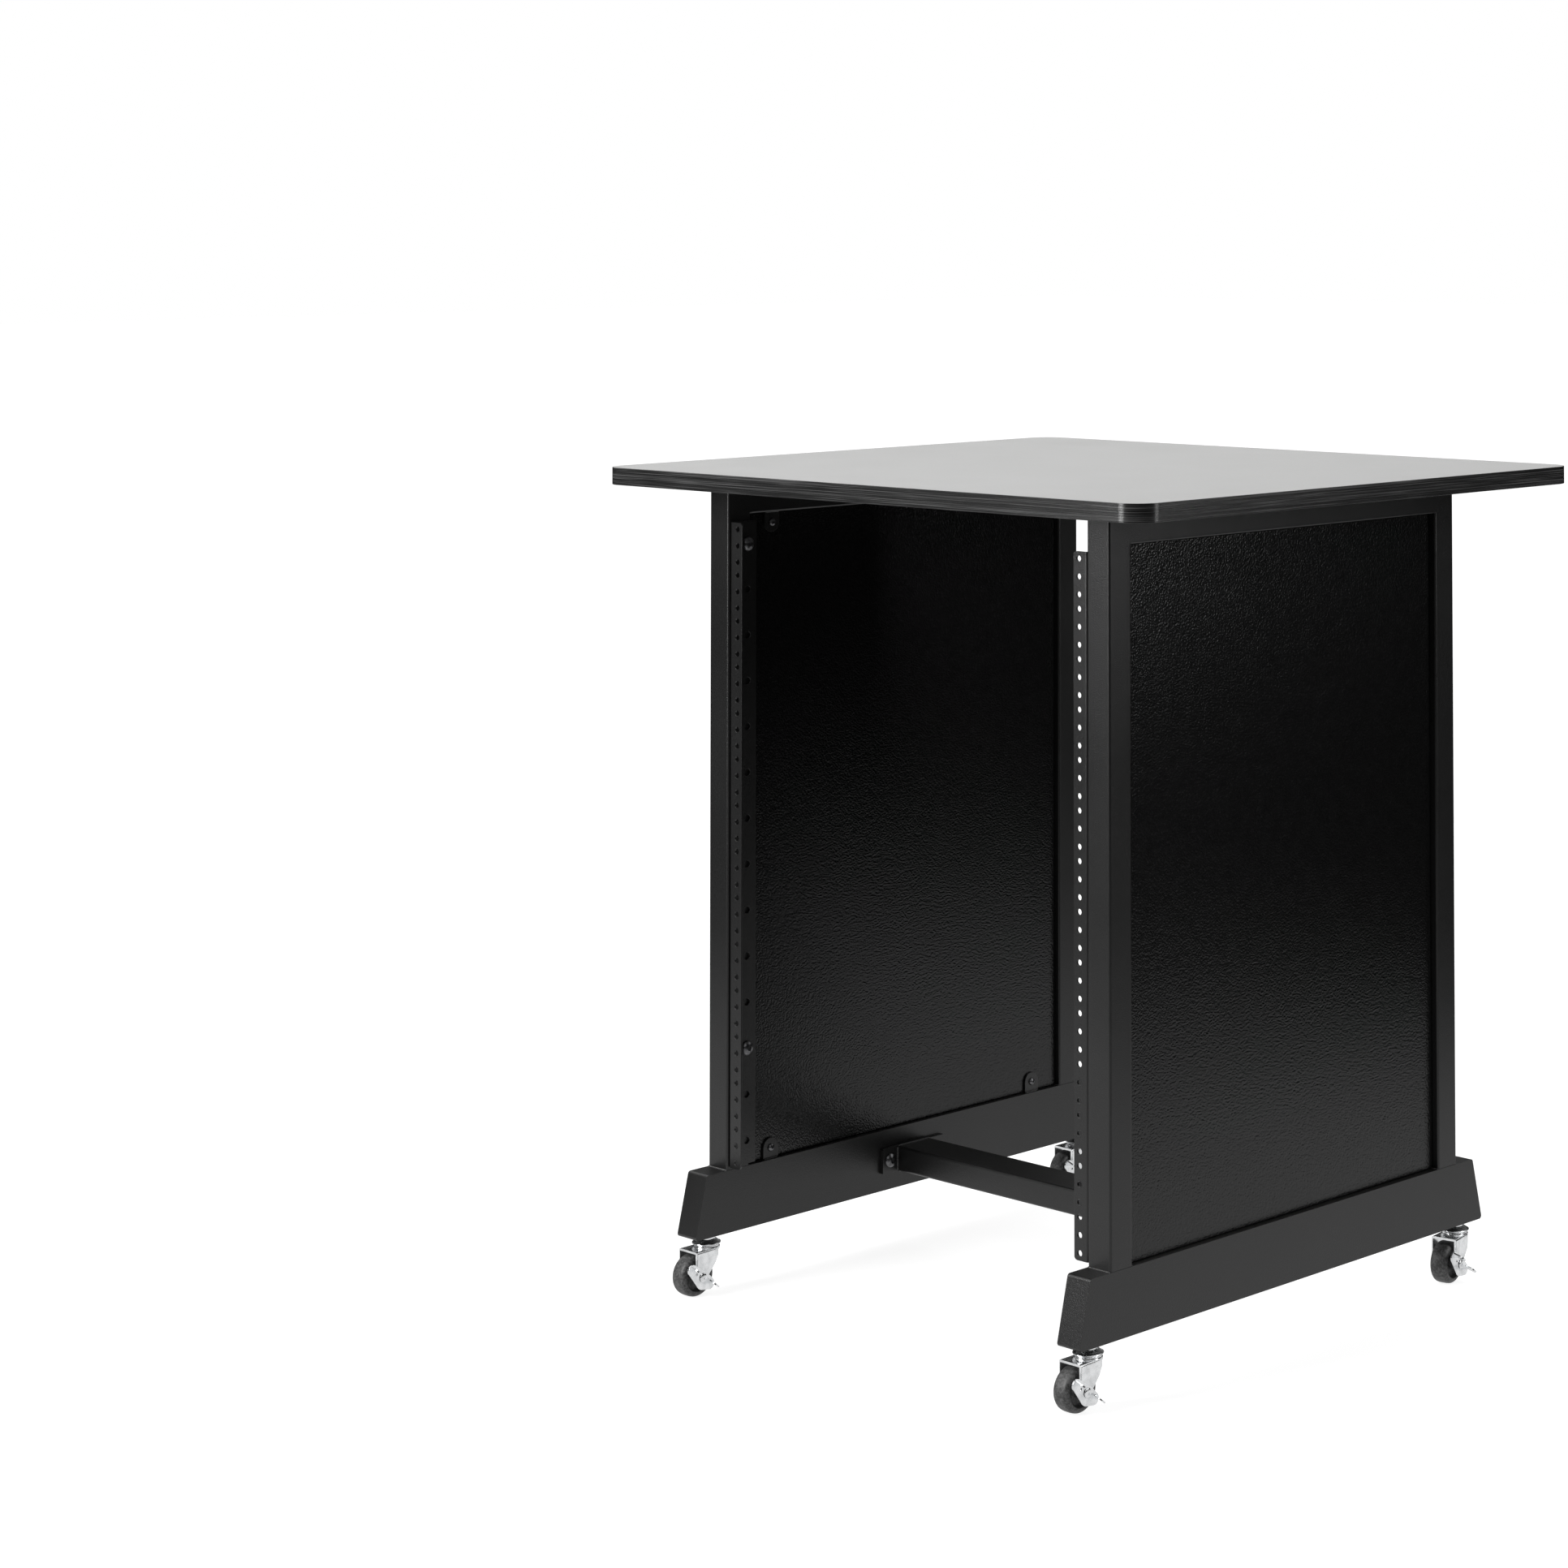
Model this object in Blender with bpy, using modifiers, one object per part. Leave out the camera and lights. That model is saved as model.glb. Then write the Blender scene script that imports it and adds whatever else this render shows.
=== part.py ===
"""Wooden studio rack.

A laminated table top lies on two welded side frames of square steel tube. Each frame stands on a
long foot beam, holds a recessed wooden side panel and carries a perforated rack rail. A cross bar
bolts the foot beams together, and four swivel casters with rocker brakes carry the whole rack.

Metres, +Z up, +X to the right and +Y to the back. The origin is on the floor under the middle of
the table top.
"""

import math

import bmesh
import bpy
from mathutils import Matrix, Vector

# Clearances
GAP = 0.0003  # between faces that touch, and round a shank in its hole
RUN_GAP = 0.0006  # between faces that turn past each other

# Table top
TABLE_WIDTH = 0.730
TABLE_DEPTH = 0.618
TABLE_THICKNESS = 0.017
TABLE_CORNER_RADIUS = 0.025
TABLE_EDGE_BEVEL = 0.0012
TABLE_SETBACK = 0.007  # the table's middle lies this far behind the frames' middle

# Side frames, of square tube
TUBE = 0.028
TUBE_WALL = 0.002
TUBE_CORNER = 0.003
FRAME_DEPTH = 0.484

# Foot beams
FOOT_HEIGHT = 0.060
FOOT_TOP_OVERHANG = 0.025  # past the posts, along the top
FOOT_BOTTOM_OVERHANG = 0.039  # past the posts, along the bottom
FOOT_CORNER = 0.003
FOOT_EDGE_BEVEL = 0.0012

# Side panels and the tabs that hold them
PANEL_THICKNESS = 0.015
PANEL_RECESS = 0.007  # behind the frame's outer face
PANEL_BEVEL = 0.0008
TAB_WIDTH = 0.019
TAB_THICKNESS = 0.002
TAB_ROOT = 0.001  # how far a tab is welded into the frame
TAB_SCREW_DROP = 0.0105  # screw centre from the frame edge that carries the tab
TAB_FRONT_INSET = 0.0305  # from the front post
TAB_REAR_INSET = 0.038  # from the rear post
PANEL_SCREW_RADIUS = 0.002
PANEL_SCREW_HEAD_RADIUS = 0.0038
PANEL_SCREW_HEAD_HEIGHT = 0.0024
PANEL_SCREW_BITE = 0.009  # into the panel

# Rack rails, to the 19-inch pattern
RACK_UNIT = 0.04445
RACK_UNITS = 14
HOLE_STEPS = (0.0, 0.015875, 0.03175)  # three holes in each unit, from its lowest one
HOLE_SPACING_ACROSS = 0.4651  # between the two rails' rows of holes
HOLE_INSET = 0.01115  # from a rail's outer face
HOLE_DIAMETER = 0.0055
RAIL_END_MARGIN = 0.00635  # from the end holes' centres
RAIL_LIFT = 0.003  # over the foot beam
RAIL_HEADROOM = 0.0347  # from a rail's top to the posts' top
RAIL_SETBACK = 0.0015  # behind the posts' front face
RAIL_FACE_WIDTH = 0.018
RAIL_SIDE_DEPTH = 0.032
RAIL_SHEET = 0.002
RAIL_BEND_RADIUS = 0.003
RAIL_TIP_RADIUS = 0.004
SIDE_HOLE_DIAMETER = 0.0070
SIDE_HOLE_SETBACK = 0.021  # behind the rail's front face
RAIL_BOLT_UNITS = {"lower": 2, "upper": 13}  # units, the lowest being 0, whose side hole takes a bolt

# Button-head bolts, M6 in the rails and M8 in the cross bar
RAIL_BOLT_RADIUS = 0.003
BOLT_RADIUS = 0.004
BOLT_HEAD_RADIUS = 0.007
BOLT_HEAD_HEIGHT = 0.0042
BOLT_REACH = 0.010  # past the face that it is screwed into

# Cross bar between the foot beams
BAR_DEPTH = 0.045
BAR_HEIGHT = 0.025
BAR_WALL = 0.002
BAR_CORNER = 0.0025
PLATE_LENGTH = 0.085
PLATE_THICKNESS = 0.004

# Screws that hold the table top, put in through access holes in the top rails
TABLE_SCREW_RADIUS = 0.0025
TABLE_SCREW_HEAD_RADIUS = 0.0048
TABLE_SCREW_HEAD_HEIGHT = 0.0030
TABLE_SCREW_ACCESS_RADIUS = 0.0060
TABLE_SCREW_BITE = 0.011
TABLE_SCREW_INSET = 0.060  # from the posts

# Casters
CASTER_HEIGHT = 0.055  # floor to foot beam
CASTER_INSET = 0.025  # swivel axis from the foot beam's bottom end
TRAIL = 0.017  # swivel axis to axle
WHEEL_RADIUS = 0.020
WHEEL_WIDTH = 0.018
WHEEL_SHOULDER = 0.005
WHEEL_SEGMENTS = 24
WHEEL_RECESS_RADIUS = 0.0142
WHEEL_WEB_WIDTH = 0.008
WHEEL_DRAFT = 0.0008  # slope of the recess's walls
WHEEL_BOSS_RADIUS = 0.0055
AXLE_RADIUS = 0.0025
AXLE_HEAD_RADIUS = 0.0042
AXLE_HEAD_HEIGHT = 0.0012
FORK_WIDTH = 0.0276  # outside to outside
FORK_SHEET = 0.002
FORK_FRONT = 0.023  # crown's front edge from the swivel axis
CROWN_RADIUS = 0.0130  # round back of the crown
FORK_CORNER = 0.0015
FORK_STEP = 0.0006  # rounding of the bend between crown and legs
LEG_END_RADIUS = 0.0065
LEG_REAR = 0.0075  # rear top corner of a leg, behind the swivel axis
CROWN_TOP = 0.0440  # above the floor
RACE_HEIGHT = 0.0022  # raised ball race on the crown
RACE_RADIUS = 0.0118
CAP_RADIUS = 0.0140
CAP_RIM = 0.0016
CAP_DOME_HEIGHT = 0.0024
CAP_NECK_RADIUS = 0.0085
STEM_RADIUS = 0.004
STEM_REACH = 0.014  # into the foot beam
NUT_ACROSS_FLATS = 0.016
KINGPIN_RADIUS = 0.0035
KINGPIN_HEAD_RADIUS = 0.0050
KINGPIN_HEAD_HEIGHT = 0.0010
SWIVEL_AT_REST = {"front_left": 0.0, "front_right": 0.0, "rear_left": 0.0, "rear_right": 10.0}

# Rocker brake levers, on the +X side of each caster
LEVER_SHEET = 0.0014
LEVER_FRONT = (-0.0125, 0.0090)  # upper front end of the plate, from the axle (Y, Z)
LEVER_REAR = (0.0085, -0.0072)  # lower rear end of the plate
LEVER_END_RADIUS = 0.0055
LEVER_MID_DROP = 0.0030  # middle of the plate hangs below the axle
LEVER_MID_RADIUS = 0.0085
PAD_REACH = 0.0130
PAD_WIDTH = 0.0090
PAD_OFFSET = 0.0030  # root of a pad from the middle of the plate's end
PAD_DROOP = math.radians(15.0)

# Facets of round shapes
HOLE_SEGMENTS = 8
BOLT_SEGMENTS = 8
SCREW_SEGMENTS = 6
CASTER_SEGMENTS = 16
CORNER_STEPS = 2

# Places that follow from the sizes
FRAME_CENTRE_Y = -TABLE_SETBACK
FRAME_INNER_X = HOLE_SPACING_ACROSS / 2 + HOLE_INSET + GAP
FRAME_MIDDLE_X = FRAME_INNER_X + TUBE / 2
FRAME_OUTER_X = FRAME_INNER_X + TUBE
FRONT_FACE_Y = FRAME_CENTRE_Y - FRAME_DEPTH / 2
REAR_FACE_Y = FRAME_CENTRE_Y + FRAME_DEPTH / 2
FOOT_BOTTOM_Z = CASTER_HEIGHT
FOOT_TOP_Z = FOOT_BOTTOM_Z + FOOT_HEIGHT
FOOT_MIDDLE_Z = FOOT_BOTTOM_Z + FOOT_HEIGHT / 2
RAIL_LENGTH = (RACK_UNITS - 1) * RACK_UNIT + HOLE_STEPS[-1] + 2 * RAIL_END_MARGIN
POST_HEIGHT = RAIL_LIFT + RAIL_LENGTH + RAIL_HEADROOM
POST_TOP_Z = FOOT_TOP_Z + POST_HEIGHT
TOP_RAIL_Z = POST_TOP_Z - TUBE / 2
OPENING_TOP_Z = POST_TOP_Z - TUBE
TABLE_BOTTOM_Z = POST_TOP_Z + GAP
PANEL_X = FRAME_OUTER_X - PANEL_RECESS - PANEL_THICKNESS / 2
PANEL_INNER_X = FRAME_OUTER_X - PANEL_RECESS - PANEL_THICKNESS
RAIL_OUTER_X = FRAME_INNER_X - GAP
RAIL_FRONT_Y = FRONT_FACE_Y + RAIL_SETBACK
RAIL_FIRST_HOLE_Z = FOOT_TOP_Z + RAIL_LIFT + RAIL_END_MARGIN
RAIL_MIDDLE_Z = FOOT_TOP_Z + RAIL_LIFT + RAIL_LENGTH / 2
PLATE_X = FRAME_INNER_X - GAP - PLATE_THICKNESS / 2
PLATE_FACE_X = FRAME_INNER_X - GAP - PLATE_THICKNESS
BAR_LENGTH = 2 * (PLATE_FACE_X - GAP)
BAR_BOLT_Y = (PLATE_LENGTH + BAR_DEPTH) / 4  # middle of the plate's free ear
CASTER_Y = FRAME_DEPTH / 2 + FOOT_BOTTOM_OVERHANG - CASTER_INSET
AXLE_Z = WHEEL_RADIUS * math.cos(math.pi / WHEEL_SEGMENTS)  # a flat of the tread lies on the floor
CAP_BOTTOM = CROWN_TOP + RACE_HEIGHT + RUN_GAP
CAP_RIM_TOP = CAP_BOTTOM + CAP_RIM
CAP_TOP = CAP_RIM_TOP + CAP_DOME_HEIGHT
TAB_Y = {"front": FRONT_FACE_Y + TUBE + TAB_FRONT_INSET, "rear": REAR_FACE_Y - TUBE - TAB_REAR_INSET}
TAB_LEVELS = {"upper": (OPENING_TOP_Z, -1), "lower": (FOOT_TOP_Z, 1)}  # frame edge, way into the opening

SIDES = {"left": -1, "right": 1}
ENDS = {"front": -1, "rear": 1}
ACROSS = (1.0, 0.0, 0.0)
PLANE_XY = Matrix.Identity(4)
PLANE_XZ = Matrix.Rotation(math.pi / 2, 4, "X")
PLANE_YZ = Matrix.Rotation(math.pi / 2, 4, "Z") @ Matrix.Rotation(math.pi / 2, 4, "X")


# Scene

def clear_scene():
    """Remove the objects of the start-up scene."""
    for obj in list(bpy.data.objects):
        bpy.data.objects.remove(obj, do_unlink=True)


def new_collection(name):
    """Return a new collection that is linked to the scene."""
    collection = bpy.data.collections.new(name)
    bpy.context.scene.collection.children.link(collection)
    return collection


def new_material(name, colour, roughness, metallic=0.0):
    """Return a Principled material."""
    material = bpy.data.materials.new(name)
    material.use_nodes = True
    shader = material.node_tree.nodes["Principled BSDF"]
    shader.inputs["Base Color"].default_value = (*colour, 1.0)
    shader.inputs["Roughness"].default_value = roughness
    shader.inputs["Metallic"].default_value = metallic
    material.diffuse_color = (*colour, 1.0)
    return material


clear_scene()
RACK = new_collection("studio_rack")
CUTTERS = new_collection("cutters")

GREY_LAMINATE = new_material("grey_laminate", (0.56, 0.56, 0.55), 0.45)
BLACK_LAMINATE = new_material("black_laminate", (0.035, 0.035, 0.035), 0.6)
BLACK_STEEL = new_material("black_steel", (0.045, 0.045, 0.047), 0.42, 0.0)
BLACK_SCREW = new_material("black_screw", (0.08, 0.08, 0.085), 0.35, 0.9)
ZINC = new_material("zinc_plate", (0.74, 0.75, 0.77), 0.25, 1.0)
BLACK_RUBBER = new_material("black_rubber", (0.03, 0.03, 0.03), 0.7)


# Outlines, as lists of 2D points

def arc(centre, radius, start, end, steps):
    """Points on an arc from start to end, in degrees."""
    angles = [math.radians(start + (end - start) * i / steps) for i in range(steps + 1)]
    return [(centre[0] + radius * math.cos(a), centre[1] + radius * math.sin(a)) for a in angles]


def circle(centre, radius, segments):
    """Points of a whole circle whose first edge is square to the x axis."""
    half = 180.0 / segments
    return arc(centre, radius, half, 360.0 + half, segments)[:-1]


def rounded(corners, radius, steps=CORNER_STEPS):
    """An outline, anticlockwise, with all its corners rounded."""
    points = []
    for i, corner in enumerate(corners):
        here = Vector(corner)
        back = (Vector(corners[i - 1]) - here).normalized()
        ahead = (Vector(corners[(i + 1) % len(corners)]) - here).normalized()
        half = back.angle(ahead) / 2
        centre = here + (back + ahead).normalized() * (radius / math.sin(half))
        start = here + back * (radius / math.tan(half)) - centre
        for step in range(steps + 1):
            spoke = Matrix.Rotation((math.pi - 2 * half) * step / steps, 2) @ start
            points.append(tuple(centre + spoke))
    return points


def rectangle(width, height):
    """The corners of a rectangle about the origin."""
    x, y = width / 2, height / 2
    return [(-x, -y), (x, -y), (x, y), (-x, y)]


def clearing(radius, segments):
    """Corner radius of a faceted hole whose flats clear a round shank."""
    return (radius + GAP) / math.cos(math.pi / segments)


def hull(points):
    """The convex outline round some points, anticlockwise."""
    def turns_left(a, b, c):
        return (b[0] - a[0]) * (c[1] - a[1]) - (b[1] - a[1]) * (c[0] - a[0]) > 0.0

    def half(ordered):
        side = []
        for point in ordered:
            while len(side) > 1 and not turns_left(side[-2], side[-1], point):
                side.pop()
            side.append(point)
        return side[:-1]

    ordered = sorted(points)
    return half(ordered) + half(ordered[::-1])


# Solids

def join_to(collection, name, mesh, material=None):
    """Make an object of a mesh in a collection."""
    obj = bpy.data.objects.new(name, mesh)
    collection.objects.link(obj)
    if material is not None:
        mesh.materials.clear()
        mesh.materials.append(material)
    return obj


def evaluated_mesh(obj):
    """Return a new mesh of what an object looks like with its modifiers."""
    bpy.context.view_layer.update()
    depsgraph = bpy.context.evaluated_depsgraph_get()
    return bpy.data.meshes.new_from_object(obj.evaluated_get(depsgraph), depsgraph=depsgraph)


def weld(mesh):
    """Merge doubled points and turn all faces outwards."""
    bm = bmesh.new()
    bm.from_mesh(mesh)
    bmesh.ops.remove_doubles(bm, verts=bm.verts, dist=1e-6)
    bmesh.ops.recalc_face_normals(bm, faces=bm.faces)
    bm.to_mesh(mesh)
    bm.free()


def prism_mesh(outlines, thickness, plane):
    """Extrude a flat outline, and any holes in it, evenly to both sides of its plane."""
    data = bpy.data.curves.new("outline", "CURVE")
    data.dimensions = "2D"
    data.fill_mode = "BOTH"
    data.extrude = thickness / 2
    for outline in outlines:
        spline = data.splines.new("POLY")
        spline.points.add(len(outline) - 1)
        spline.use_cyclic_u = True
        for point, (x, y) in zip(spline.points, outline):
            point.co = (x, y, 0.0, 1.0)
    guide = join_to(CUTTERS, "outline", data)
    mesh = evaluated_mesh(guide)
    bpy.data.objects.remove(guide, do_unlink=True)
    mesh.transform(plane)
    weld(mesh)
    return mesh


def turned_mesh(profile, segments, closed=False):
    """Turn a profile of (radius, height) points about Z. It runs down the outer side."""
    mesh = bpy.data.meshes.new("profile")
    count = len(profile)
    edges = [(i, i + 1) for i in range(count - 1)] + ([(count - 1, 0)] if closed else [])
    mesh.from_pydata([(r, 0.0, z) for r, z in profile], edges, [])
    guide = join_to(CUTTERS, "profile", mesh)
    screw = guide.modifiers.new("turn", "SCREW")
    screw.axis = "Z"
    screw.steps = screw.render_steps = segments
    screw.use_merge_vertices = True
    screw.merge_threshold = 1e-6
    turned = evaluated_mesh(guide)
    bpy.data.objects.remove(guide, do_unlink=True)
    return turned


def gathered_mesh(mesh, places):
    """One mesh that holds a copy of another at each place."""
    bm = bmesh.new()
    for place in places:
        first = len(bm.verts)
        bm.from_mesh(mesh)
        bm.verts.ensure_lookup_table()
        bmesh.ops.transform(bm, matrix=place, verts=bm.verts[first:])
    joined = bpy.data.meshes.new(mesh.name)
    bm.to_mesh(joined)
    bm.free()
    return joined


def carved_mesh(mesh, joined=(), cutters=()):
    """A mesh with others united with it, and others then cut out of it."""
    guide = join_to(CUTTERS, "carved", mesh)
    for other in joined:
        combine(guide, other, "UNION")
    for other in cutters:
        combine(guide, other, "DIFFERENCE")
    result = evaluated_mesh(guide)
    for helper in [m.object for m in guide.modifiers] + [guide]:
        bpy.data.objects.remove(helper, do_unlink=True)
    return result


def smooth(obj, angle=35.0):
    """Shade round faces smooth and keep the edges crisp."""
    obj.data.shade_smooth()
    obj.data.set_sharp_from_angle(angle=math.radians(angle))


def part(name, mesh, material, location=(0.0, 0.0, 0.0), parent=None):
    """Add one named piece of the rack."""
    obj = join_to(RACK, name, mesh, material)
    obj.location = location
    obj.parent = parent
    smooth(obj)
    return obj


def fasteners(mesh, material, places):
    """Add a named copy of a fastener at each place."""
    for name, place in places.items():
        obj = part(name, mesh, material, place.to_translation())
        obj.rotation_euler = place.to_euler()


def bevel(obj, width, segments=1, angle=50.0):
    """Round the edges of a piece that are sharper than an angle."""
    modifier = obj.modifiers.new("edges", "BEVEL")
    modifier.width = width
    modifier.segments = segments
    modifier.limit_method = "ANGLE"
    modifier.angle_limit = math.radians(angle)


def combine(obj, mesh, operation, location=(0.0, 0.0, 0.0)):
    """Unite a mesh with a piece, or cut it out of the piece."""
    tool = join_to(CUTTERS, f"{obj.name}_{operation.lower()}", mesh)
    tool.location = location
    tool.display_type = "WIRE"
    tool.hide_render = True
    modifier = obj.modifiers.new(operation.lower(), "BOOLEAN")
    modifier.operation = operation
    modifier.solver = "EXACT"
    modifier.object = tool


def cut(obj, mesh, location=(0.0, 0.0, 0.0)):
    """Cut a mesh out of a piece."""
    combine(obj, mesh, "DIFFERENCE", location)


def rod_mesh(radius, length, segments):
    """A plain round rod along Z, centred on the origin."""
    mesh = bpy.data.meshes.new("rod")
    bm = bmesh.new()
    bmesh.ops.create_cone(bm, cap_ends=True, segments=segments, radius1=radius, radius2=radius, depth=length)
    bm.to_mesh(mesh)
    bm.free()
    return mesh


def block_mesh(size):
    """A box centred on the origin."""
    mesh = bpy.data.meshes.new("block")
    bm = bmesh.new()
    bmesh.ops.create_cube(bm, size=1.0, matrix=Matrix.Diagonal((*size, 1.0)))
    bm.to_mesh(mesh)
    bm.free()
    return mesh


def along(axis):
    """The turn that takes +Z to an axis."""
    return Vector((0.0, 0.0, 1.0)).rotation_difference(Vector(axis)).to_matrix().to_4x4()


def at(location, axis=(0.0, 0.0, 1.0)):
    """The place of a copy whose +Z points along an axis."""
    return Matrix.Translation(location) @ along(axis)


def bolt_mesh(radius, head_radius, head_height, reach, segments):
    """A button-head bolt. Its head's seat is at the origin and its shank runs down -Z."""
    profile = [
        (0.0, head_height),
        (head_radius * 0.55, head_height),
        (head_radius * 0.90, head_height * 0.62),
        (head_radius, head_height * 0.18),
        (head_radius, 0.0),
        (radius, 0.0),
        (radius, -reach),
        (0.0, -reach),
    ]
    return turned_mesh(profile, segments)


# Table top

def make_table_top():
    """The board with its round corners and blind screw holes."""
    outline = rounded(rectangle(TABLE_WIDTH, TABLE_DEPTH), TABLE_CORNER_RADIUS, 6)
    board = prism_mesh([outline], TABLE_THICKNESS, PLANE_XY)
    middle = (0.0, 0.0, TABLE_BOTTOM_Z + TABLE_THICKNESS / 2)
    top = part("table_top", board, GREY_LAMINATE, middle)
    bevel(top, TABLE_EDGE_BEVEL)
    depth = TABLE_SCREW_BITE + GAP
    hole = rod_mesh(clearing(TABLE_SCREW_RADIUS, SCREW_SEGMENTS), 2 * depth, SCREW_SEGMENTS)
    cut(top, gathered_mesh(hole, [at((x, y, TABLE_BOTTOM_Z)) for x, y in table_screw_places().values()]))


def table_screw_places():
    """Where each table screw stands, as (x, y)."""
    inset = TUBE + TABLE_SCREW_INSET
    reach = {"front": FRONT_FACE_Y + inset, "rear": REAR_FACE_Y - inset}
    return {
        f"{side_name}_{end}_table_screw": (side * FRAME_MIDDLE_X, y)
        for side_name, side in SIDES.items() for end, y in reach.items()
    }


def make_table_screws():
    """The screws whose heads sit inside the top rails, under the rails' upper wall."""
    reach = TUBE_WALL + 2 * GAP + TABLE_SCREW_BITE
    screw = bolt_mesh(
        TABLE_SCREW_RADIUS, TABLE_SCREW_HEAD_RADIUS, TABLE_SCREW_HEAD_HEIGHT, reach, SCREW_SEGMENTS
    )
    seat = POST_TOP_Z - TUBE_WALL - GAP
    down = (0.0, 0.0, -1.0)
    fasteners(screw, BLACK_SCREW, {n: at((x, y, seat), down) for n, (x, y) in table_screw_places().items()})


# Side frames

def tube_outlines(width, height, wall, corner):
    """Outer and inner outline of a tube's section."""
    inside = rectangle(width - 2 * wall, height - 2 * wall)
    return [rounded(rectangle(width, height), corner), rounded(inside, corner - wall, 1)]


def make_posts(side_name, side):
    """Front and rear post of one frame, open at both ends."""
    length = POST_HEIGHT - GAP
    places = {"front": FRONT_FACE_Y + TUBE / 2, "rear": REAR_FACE_Y - TUBE / 2}
    for end, y in places.items():
        mesh = prism_mesh(tube_outlines(TUBE, TUBE, TUBE_WALL, TUBE_CORNER), length, PLANE_XY)
        centre = (side * FRAME_MIDDLE_X, y, FOOT_TOP_Z + GAP + length / 2)
        post = part(f"{side_name}_{end}_post", mesh, BLACK_STEEL, centre)
        if end == "front":
            hole = rod_mesh(clearing(RAIL_BOLT_RADIUS, BOLT_SEGMENTS), 3 * TUBE_WALL, BOLT_SEGMENTS)
            wall = [at((side * FRAME_INNER_X, *place), ACROSS) for place in rail_bolt_places().values()]
            cut(post, gathered_mesh(hole, wall))


def make_top_rail(side_name, side):
    """The tube between the two posts, under the table top, with the panel's upper tabs."""
    length = FRAME_DEPTH - 2 * TUBE - 2 * GAP
    mesh = prism_mesh(tube_outlines(TUBE, TUBE, TUBE_WALL, TUBE_CORNER), length, PLANE_XZ)
    centre = (side * FRAME_MIDDLE_X, FRAME_CENTRE_Y, TOP_RAIL_Z)
    rail = part(f"{side_name}_top_rail", mesh, BLACK_STEEL, centre)
    combine(rail, tabs_mesh(side, "upper"), "UNION")
    fit = clearing(TABLE_SCREW_RADIUS, SCREW_SEGMENTS)
    holes = {POST_TOP_Z: fit, OPENING_TOP_Z: TABLE_SCREW_ACCESS_RADIUS}
    for z, radius in holes.items():
        hole = rod_mesh(radius, 3 * TUBE_WALL, SCREW_SEGMENTS)
        places = [at((x, y, z)) for x, y in table_screw_places().values() if x * side > 0]
        cut(rail, gathered_mesh(hole, places))


def foot_outline(inset=0.0):
    """Side view of a foot beam about its middle: a box that is longer at the bottom."""
    rise = FOOT_HEIGHT / 2 - inset
    slope = (FOOT_BOTTOM_OVERHANG - FOOT_TOP_OVERHANG) / FOOT_HEIGHT
    middle = (FRAME_DEPTH + FOOT_BOTTOM_OVERHANG + FOOT_TOP_OVERHANG) / 2 - inset * math.hypot(1.0, slope)
    low, high = middle + slope * rise, middle - slope * rise
    return [(-low, -rise), (low, -rise), (high, rise), (-high, rise)]


def make_foot_beam(side_name, side):
    """The hollow beam with the panel's lower tabs, and holes for the stems and the cross bar's bolts."""
    centre = (side * FRAME_MIDDLE_X, FRAME_CENTRE_Y, FOOT_MIDDLE_Z)
    outer = prism_mesh([rounded(foot_outline(), FOOT_CORNER)], TUBE, PLANE_YZ)
    foot = part(f"{side_name}_foot_beam", outer, BLACK_STEEL, centre)
    bevel(foot, FOOT_EDGE_BEVEL, angle=60.0)
    cut(foot, prism_mesh([foot_outline(TUBE_WALL)], TUBE - 2 * TUBE_WALL, PLANE_YZ), centre)
    combine(foot, tabs_mesh(side, "lower"), "UNION")
    stem = rod_mesh(clearing(STEM_RADIUS, BOLT_SEGMENTS), 3 * TUBE_WALL, BOLT_SEGMENTS)
    under = [at((centre[0], FRAME_CENTRE_Y + end * CASTER_Y, FOOT_BOTTOM_Z)) for end in ENDS.values()]
    cut(foot, gathered_mesh(stem, under))
    bolt = rod_mesh(clearing(BOLT_RADIUS, BOLT_SEGMENTS), 3 * TUBE_WALL, BOLT_SEGMENTS)
    inner = [
        at((side * FRAME_INNER_X, FRAME_CENTRE_Y + end * BAR_BOLT_Y, FOOT_MIDDLE_Z), ACROSS)
        for end in ENDS.values()
    ]
    cut(foot, gathered_mesh(bolt, inner))


# Side panels

def tabs_mesh(side, level):
    """The two round-ended tongues of one level, over the panel's inner face."""
    half = TAB_WIDTH / 2
    tongue = [(-half, -TAB_ROOT), (half, -TAB_ROOT)] + arc((0.0, TAB_SCREW_DROP), half, 0.0, 180.0, 6)
    hole = circle((0.0, TAB_SCREW_DROP), clearing(PANEL_SCREW_RADIUS, SCREW_SEGMENTS), SCREW_SEGMENTS)
    tab = prism_mesh([tongue, hole], TAB_THICKNESS, PLANE_YZ)
    edge, way = TAB_LEVELS[level]
    turn = Matrix.Rotation(0.0 if way > 0 else math.pi, 4, "X")
    x = side * (PANEL_INNER_X - GAP - TAB_THICKNESS / 2)
    return gathered_mesh(tab, [Matrix.Translation((x, y, edge)) @ turn for y in TAB_Y.values()])


def panel_screw_places():
    """Where each screw of a panel stands, as (y, z)."""
    return {
        f"{end}_{level}_panel_screw": (y, edge + way * TAB_SCREW_DROP)
        for end, y in TAB_Y.items() for level, (edge, way) in TAB_LEVELS.items()
    }


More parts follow.
